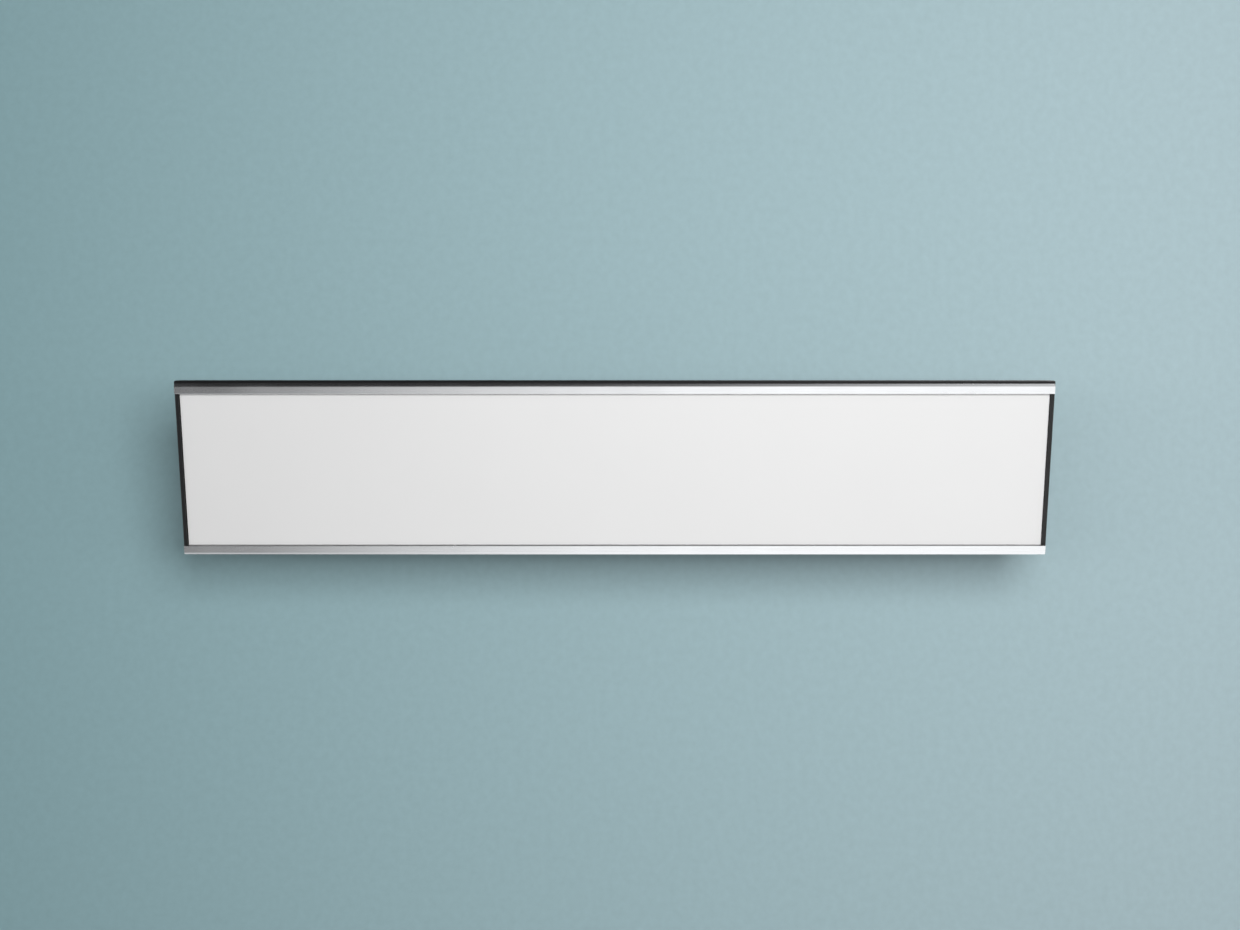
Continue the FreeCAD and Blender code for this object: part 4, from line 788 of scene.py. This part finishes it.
class HEATER_OT_trims(bpy.types.Operator):
    """Build both aluminium trims from their extruded section"""
    bl_idname = "heater.trims"
    bl_label = "Trims"

    def execute(self, context):
        sizes = context.scene.heater_sizes
        low, high = panel_box("top_trim")
        groove, groove_end = panel_box("top_gasket")
        housing = panel_box("rear_housing")[0]
        back = housing.y
        middle = (low.z + high.z) / 2
        edge = sizes.trim_edge
        section = [
            (low.y, low.z, edge), (low.y, high.z, sizes.trim_nose), (back, high.z, edge),
            (back, low.z, edge), (groove_end.y, low.z, 0), (groove_end.y, groove_end.z, 0),
            (groove.y, groove_end.z, 0), (groove.y, low.z, 0),
        ]
        tongue_end = min(-housing.x, high.x) - SLIDE_GAP
        neck = sizes.tongue_neck / 2
        head = sizes.tongue_head / 2
        step = high.y - sizes.tongue_sheet
        tongue = [
            (back, middle - neck, 0), (step, middle - neck, 0), (step, middle - head, 0),
            (high.y, middle - head, 0), (high.y, middle + head, 0), (step, middle + head, 0),
            (step, middle + neck, 0), (back, middle + neck, 0),
        ]
        for name, turn in (("top_trim", 1), ("bottom_trim", -1)):
            bm = bmesh.new()
            for outline, reach in ((section, high.x), (tongue, tongue_end)):
                flipped = [(y, turn * z, radius) for y, z, radius in outline]
                draw_along_x(bm, rounded(flipped, TRIM_STEPS), -reach, reach)
            piece = from_bmesh(name + "_extrusion", bm, PANEL)
            settled(piece, name)
        return {"FINISHED"}


class HEATER_OT_brackets(bpy.types.Operator):
    """Round the cut edges of the folded wall and heater brackets"""
    bl_idname = "heater.brackets"
    bl_label = "Brackets"

    def execute(self, context):
        width = context.scene.heater_sizes.sheet_edge
        for side in ("left", "right"):
            edge_rounded(side + "_wall_bracket", width)
            edge_rounded(side + "_heater_bracket", width)
        return {"FINISHED"}


class HEATER_OT_terminal_box(bpy.types.Operator):
    """Round the rim of the terminal box and its cover"""
    bl_idname = "heater.terminal_box"
    bl_label = "Terminal box"

    def execute(self, context):
        sizes = context.scene.heater_sizes
        edge_rounded("terminal_box", sizes.sheet_edge)
        edge_rounded("terminal_cover", sizes.cover_edge)
        return {"FINISHED"}


class HEATER_OT_gland(bpy.types.Operator):
    """Round the moulded edges of the cable gland"""
    bl_idname = "heater.gland"
    bl_label = "Cable gland"

    def execute(self, context):
        width = context.scene.heater_sizes.moulded_edge
        for name in ("gland_body", "gland_nut"):
            edge_rounded(name, width)
        return {"FINISHED"}


class HEATER_OT_end_plate_screws(bpy.types.Operator):
    """Set the countersunk screws in both end plates"""
    bl_idname = "heater.end_plate_screws"
    bl_label = "End plate screws"

    def execute(self, context):
        boxes = solids("end_plate_screws", PANEL)
        seats = []
        for low, high in boxes:
            middle = (low + high) / 2
            side = 1 if middle.x > 0 else -1
            face = high.x if side > 0 else low.x
            seats.append(seat(PANEL, (face, middle.y, middle.z), (side, 0, 0)))
        size = boxes[0][1] - boxes[0][0]
        profile = ((0, 0), (0.93, 0), (1, -0.06), (0.42, -1), (0, -1))
        tree = socket_screw_tree("Countersunk screws", profile, top=0.0, start=0.1)
        fasteners("end_plate_screws", tree, seats, screw_sizes(
            size.z / 2, context.scene.heater_sizes.countersink, size.x))
        return {"FINISHED"}


class HEATER_OT_pan_screws(bpy.types.Operator):
    """Set the pan-head screws of the terminal cover and the element supports"""
    bl_idname = "heater.pan_screws"
    bl_label = "Pan-head screws"

    def execute(self, context):
        profile = ((0, 1), (0.45, 1), (0.72, 0.93), (0.9, 0.74), (0.98, 0.45), (1, 0.12), (0.97, 0),
                   (0, 0))
        tree = socket_screw_tree("Pan-head screws", profile, top=1.0, start=-0.02)
        for name, under in (("cover_screws", "terminal_cover"), ("support_screws", "rear_housing")):
            back = panel_box(under)[1].y
            seats, (low, high) = seated(name, PANEL, (0, 1, 0), lambda low, high: back)
            fasteners(name, tree, seats, screw_sizes(
                (high.x - low.x) / 2, high.y - back, back - low.y))
        return {"FINISHED"}


class HEATER_OT_rivets(bpy.types.Operator):
    """Set the blind rivets of both rails and the terminal box"""
    bl_idname = "heater.rivets"
    bl_label = "Rivets"

    def execute(self, context):
        sizes = context.scene.heater_sizes
        dome = sizes.rivet_dome
        tree = rivet_tree()
        for name in ("rail_rivets", "box_rivets"):
            seats, (low, high) = seated(name, PANEL, (0, 1, 0), lambda low, high: high.y - dome)
            fasteners(name, tree, seats, {
                "Head radius": (high.x - low.x) / 2, "Head height": dome,
                "Body radius": sizes.rivet_body, "Body length": high.y - dome - low.y,
            })
        return {"FINISHED"}


class HEATER_OT_bolts(bpy.types.Operator):
    """Set the flange bolts of the tilt axis and its locks"""
    bl_idname = "heater.bolts"
    bl_label = "Bolts"

    def execute(self, context):
        tree = flange_tree("Flange bolts", nut=False)
        for name, place, kind in (("pivot_bolts", WALL, M8_FLANGE), ("lock_bolts", PANEL, M6_FLANGE)):
            top = kind[2] * MM
            seats, (low, high) = seated(name, place, (1, 0, 0), lambda low, high: high.x - top)
            fasteners(name, tree, seats, flange_sizes(
                kind, (high.y - low.y) / 2, high.x - top - low.x))
        return {"FINISHED"}


class HEATER_OT_nuts(bpy.types.Operator):
    """Set the flange nuts of the tilt axis, its locks and the rail bolts"""
    bl_idname = "heater.nuts"
    bl_label = "Nuts"

    def execute(self, context):
        tree = flange_tree("Flange nuts", nut=True)
        kinds = (
            ("pivot_nuts", WALL, (-1, 0, 0), M8_FLANGE),
            ("lock_nuts", PANEL, (-1, 0, 0), M6_FLANGE),
            ("t_bolt_nuts", PANEL, (0, 1, 0), M6_FLANGE),
        )
        for name, place, out, kind in kinds:
            seats, (low, high) = seated(
                name, place, out, lambda low, high: high.x if out[0] else low.y)
            fasteners(name, tree, seats, flange_sizes(kind, (high.z - low.z) / 2, length=0.0))
        return {"FINISHED"}


# The stage in metres: each lamp's place and width, the reach of wall and floor to each side, the
# top of the wall, how far it lies behind the brackets, and where its painted shade, darker on the left and paler
# on the right, stops changing
KEY_LAMP = ((0.47, -2.1, 0.44), 1.25)
BACK_LAMP = ((2.2, 1.8, 0.9), 1.8)
WALL_REACH, WALL_TOP, WALL_GAP, WALL_PAINTED_SHADE_FADE = 4.0, 3.0, 0.5 * MM, 0.72
FLOOR_REACH = 5.0

# Width of the camera's sensor
SENSOR_MM = 36.0

# The room by directions of length one: x to the right, y to the wall, z up. Its light changes from
# ground to level to overhead at the heights LEVELS, and to the light behind over BEHIND in y.
LEVELS = (-0.12, -0.03, 0.1, 0.2)
BEHIND = (0.0, 0.4)

# What gloss mirrors of the room: SIDES, greys from left to right, by x plus LEANING times the
# height, which counts within LEANING_WITHIN; FLANK_GREY, which comes in to either side over FLANK
# in x and toward the wall over REAR in y; GROUND_GREY, which comes in where x and z add up to
# GROUND. All of it dims to OVERHEAD_SHARE over OVERHEAD in height.
SIDES = ((-0.77, 0.6), (-0.48, 0.03), (-0.21, 0.03), (0.179, 1.33), (0.43, 1.33), (0.7, 0.4))
LEANING, LEANING_WITHIN = -0.33, (-0.45, 0.5)
FLANK, REAR, FLANK_GREY = (0.3, 0.55), (-0.1, 0.2), "#C4C6C8"
GROUND, GROUND_GREY = (-1.0, -1.18), "#D4D6D8"
OVERHEAD, OVERHEAD_SHARE = (0.0, 0.32), 0.6
SEEN_GREY = "#C9D3D6"


class HEATER_OT_stage(bpy.types.Operator):
    """Set up the wall, the floor, the lamps and the camera"""
    bl_idname = "heater.stage"
    bl_label = "Stage"

    def execute(self, context):
        stage = context.scene.heater_stage
        self.wall(stage)
        self.floor(stage)
        self.surroundings(stage)
        self.lamp("key_lamp", *KEY_LAMP, stage.key_power, mirrored=False)
        self.lamp("back_lamp", *BACK_LAMP, stage.back_power, mirrored=True)
        self.camera(stage)
        context.scene.view_settings.view_transform = "Standard"
        return {"FINISHED"}

    def sheet(self, name, corners, material):
        """One flat face of the stage."""
        mesh = bpy.data.meshes.new(name)
        mesh.from_pydata(corners, [], [tuple(range(len(corners)))])
        mesh.materials.append(material)
        made = linked(name, mesh)
        return made

    def wall(self, stage):
        """A wall that shows only from the front, so that the back of the heater can be seen."""
        # Matt paint put on with a roller: dull, with the faint stipple of the roller's nap
        material, tree, shader, place = blank_material("wall_paint_rolled_matt")
        # Painted light: across x the wall's colour runs from a painted shade on the left to paler on the right,
        # standing in for the lamp's light falling from the right
        across = add_node(tree, "ShaderNodeSeparateXYZ", {0: place}).outputs["X"]
        painted_shade_fade = remapped(tree, across, -WALL_PAINTED_SHADE_FADE, WALL_PAINTED_SHADE_FADE)
        nap = noise(tree, place, 9, 4.0)
        left, right = (toned(tree, nap, colour, 0.93, 1.07)
                       for colour in (stage.wall_left_painted_shade, stage.wall_right_painted_light))
        tree.links.new(tint(tree, painted_shade_fade, left, right), shader.inputs["Base Color"])
        shader.inputs["Roughness"].default_value = 0.9
        shader.inputs["Specular IOR Level"].default_value = 0.2
        clear = add_node(tree, "ShaderNodeBsdfTransparent")
        facing = add_node(tree, "ShaderNodeNewGeometry")
        mix = add_node(tree, "ShaderNodeMixShader", {
            0: facing.outputs["Backfacing"], 1: shader.outputs[0], 2: clear.outputs[0]})
        show(tree, mix.outputs[0])
        x, y, low, high = WALL_REACH, WALL_GAP, -stage.floor_drop, WALL_TOP
        made = self.sheet("wall", [(-x, y, low), (x, y, low), (x, y, high), (-x, y, high)], material)
        made.visible_shadow = False
        made.visible_diffuse = False
        made.visible_glossy = False
        made.visible_transmission = False

    def floor(self, stage):
        """A pale floor that neither lights nor mirrors in the heater."""
        # Pale screed, trowelled: dull and almost even, with a broad faint mottle
        material, tree, shader, place = blank_material("floor_screed_pale")
        colour = toned(tree, noise(tree, place, 400, 4.0), stage.floor, 0.97, 1.03)
        tree.links.new(colour, shader.inputs["Base Color"])
        shader.inputs["Roughness"].default_value = 0.9
        path = add_node(tree, "ShaderNodeLightPath")
        seen = maths(tree, "MULTIPLY", path.outputs["Is Camera Ray"], stage.floor_glow)
        pale = add_node(tree, "ShaderNodeEmission", {"Color": stage.floor})
        mix = add_node(tree, "ShaderNodeMixShader", {
            0: seen, 1: shader.outputs[0], 2: pale.outputs[0]})
        show(tree, mix.outputs[0])
        r, z = FLOOR_REACH, -stage.floor_drop
        made = self.sheet("floor", [(-r, -r, z), (r, -r, z), (r, r, z), (-r, r, z)], material)
        made.visible_glossy = False
        made.visible_diffuse = False

    def surroundings(self, stage):
        """A soft room, pale where it is seen: brightest at eye level and behind the heater.

        To anything glossy it is grey on both sides behind the heater, and in front of it bright on
        the right, with a dark gap and a grey side on the left. It dims overhead, and the ground
        far to the left is pale."""
        world = bpy.data.worlds.new("soft_room")
        bpy.context.scene.world = world
        world.use_nodes = True
        tree = world.node_tree
        tree.nodes.clear()
        place = add_node(tree, "ShaderNodeTexCoord").outputs["Generated"]
        x, y, z = add_node(tree, "ShaderNodeSeparateXYZ", {0: place}).outputs

        # The light on dull pieces
        strengths = (stage.ground_fill, stage.level_fill, stage.level_fill, stage.fill)
        front = ramp(tree, z, "LINEAR", tuple(zip(LEVELS, strengths)))
        light = remapped(tree, y, *BEHIND, front, stage.back_fill, blend="SMOOTHSTEP")
        fill = add_node(tree, "ShaderNodeBackground", {"Color": linear("#FFFFFF"), "Strength": light})

        # What gloss mirrors
        low, high = LEANING_WITHIN
        height = add_node(tree, "ShaderNodeClamp", {"Value": z, "Min": low, "Max": high}).outputs[0]
        sides = ramp(tree, maths(tree, "MULTIPLY_ADD", height, LEANING, x), "EASE", SIDES)
        flank = remapped(tree, maths(tree, "ABSOLUTE", x), *FLANK, 0.0, remapped(tree, y, *REAR))
        grey = tint(tree, flank, sides, linear(FLANK_GREY))
        ground = remapped(tree, maths(tree, "ADD", x, z), *GROUND)
        pale = tint(tree, ground, grey, linear(GROUND_GREY))
        dimmed = remapped(tree, z, *OVERHEAD, 1.0, OVERHEAD_SHARE)
        room = add_node(tree, "ShaderNodeBackground", {"Color": pale, "Strength": dimmed})

        # What the camera sees
        seen = add_node(tree, "ShaderNodeBackground", {"Color": linear(SEEN_GREY)})
        path = add_node(tree, "ShaderNodeLightPath")
        lit = add_node(tree, "ShaderNodeMixShader", {
            0: path.outputs["Is Glossy Ray"], 1: fill.outputs[0], 2: room.outputs[0]})
        mix = add_node(tree, "ShaderNodeMixShader", {
            0: path.outputs["Is Camera Ray"], 1: lit.outputs[0], 2: seen.outputs[0]})
        add_node(tree, "ShaderNodeOutputWorld", {"Surface": mix.outputs[0]})

    def lamp(self, name, place, size, power, mirrored):
        """A square lamp that faces the middle of the heater, mirrored by gloss or not."""
        data = bpy.data.lights.new(name, "AREA")
        data.size = size
        data.energy = power
        lamp = linked(name, data)
        lamp.location = place
        lamp.rotation_euler = (PIVOT - Vector(place)).to_track_quat("-Z", "Y").to_euler()
        lamp.visible_camera = False
        lamp.visible_glossy = mirrored

    def camera(self, stage):
        """A camera that looks straight at the wall, set off from the middle of the glass."""
        low, high = panel_box("front_glass")
        front = panel_box("top_trim")[0].y
        middle = PANEL @ Vector(((low.x + high.x) / 2, front, (low.z + high.z) / 2))
        data = bpy.data.cameras.new("camera")
        data.lens = stage.lens
        data.sensor_width = SENSOR_MM
        camera = linked("camera", data)
        camera.location = middle + Vector((stage.aside, -stage.distance, stage.above))
        camera.rotation_euler = (math.radians(90), 0.0, 0.0)
        bpy.context.scene.camera = camera


STEPS = (
    HEATER_OT_finishes, HEATER_OT_front_glass, HEATER_OT_trims, HEATER_OT_brackets,
    HEATER_OT_terminal_box, HEATER_OT_gland, HEATER_OT_end_plate_screws, HEATER_OT_pan_screws,
    HEATER_OT_rivets, HEATER_OT_bolts, HEATER_OT_nuts, HEATER_OT_stage,
)


class HEATER_PT_panel(bpy.types.Panel):
    """Sizes, colours and steps of the heater"""
    bl_idname = "HEATER_PT_panel"
    bl_label = "Patio heater"
    bl_space_type = "VIEW_3D"
    bl_region_type = "UI"
    bl_category = "Heater"

    def draw(self, context):
        for step in STEPS:
            self.layout.operator(step.bl_idname)
        for group in (context.scene.heater_sizes, context.scene.heater_colours,
                      context.scene.heater_stage):
            for key in group.bl_rna.properties.keys():
                if key not in ("rna_type", "name"):
                    self.layout.prop(group, key)


GROUPS = (
    ("heater_sizes", HeaterSizes), ("heater_colours", HeaterColours), ("heater_stage", HeaterStage),
)


def register():
    for name, group in GROUPS:
        bpy.utils.register_class(group)
        setattr(bpy.types.Scene, name, bpy.props.PointerProperty(type=group))
    for step in STEPS:
        bpy.utils.register_class(step)
    bpy.utils.register_class(HEATER_PT_panel)


def unregister():
    bpy.utils.unregister_class(HEATER_PT_panel)
    for step in reversed(STEPS):
        bpy.utils.unregister_class(step)
    for name, group in reversed(GROUPS):
        delattr(bpy.types.Scene, name)
        bpy.utils.unregister_class(group)


def main():
    register()
    bpy.ops.heater.finishes()
    bpy.ops.heater.front_glass()
    bpy.ops.heater.trims()
    bpy.ops.heater.brackets()
    bpy.ops.heater.terminal_box()
    bpy.ops.heater.gland()
    bpy.ops.heater.end_plate_screws()
    bpy.ops.heater.pan_screws()
    bpy.ops.heater.rivets()
    bpy.ops.heater.bolts()
    bpy.ops.heater.nuts()
    bpy.ops.heater.stage()


if __name__ == "__main__":
    main()
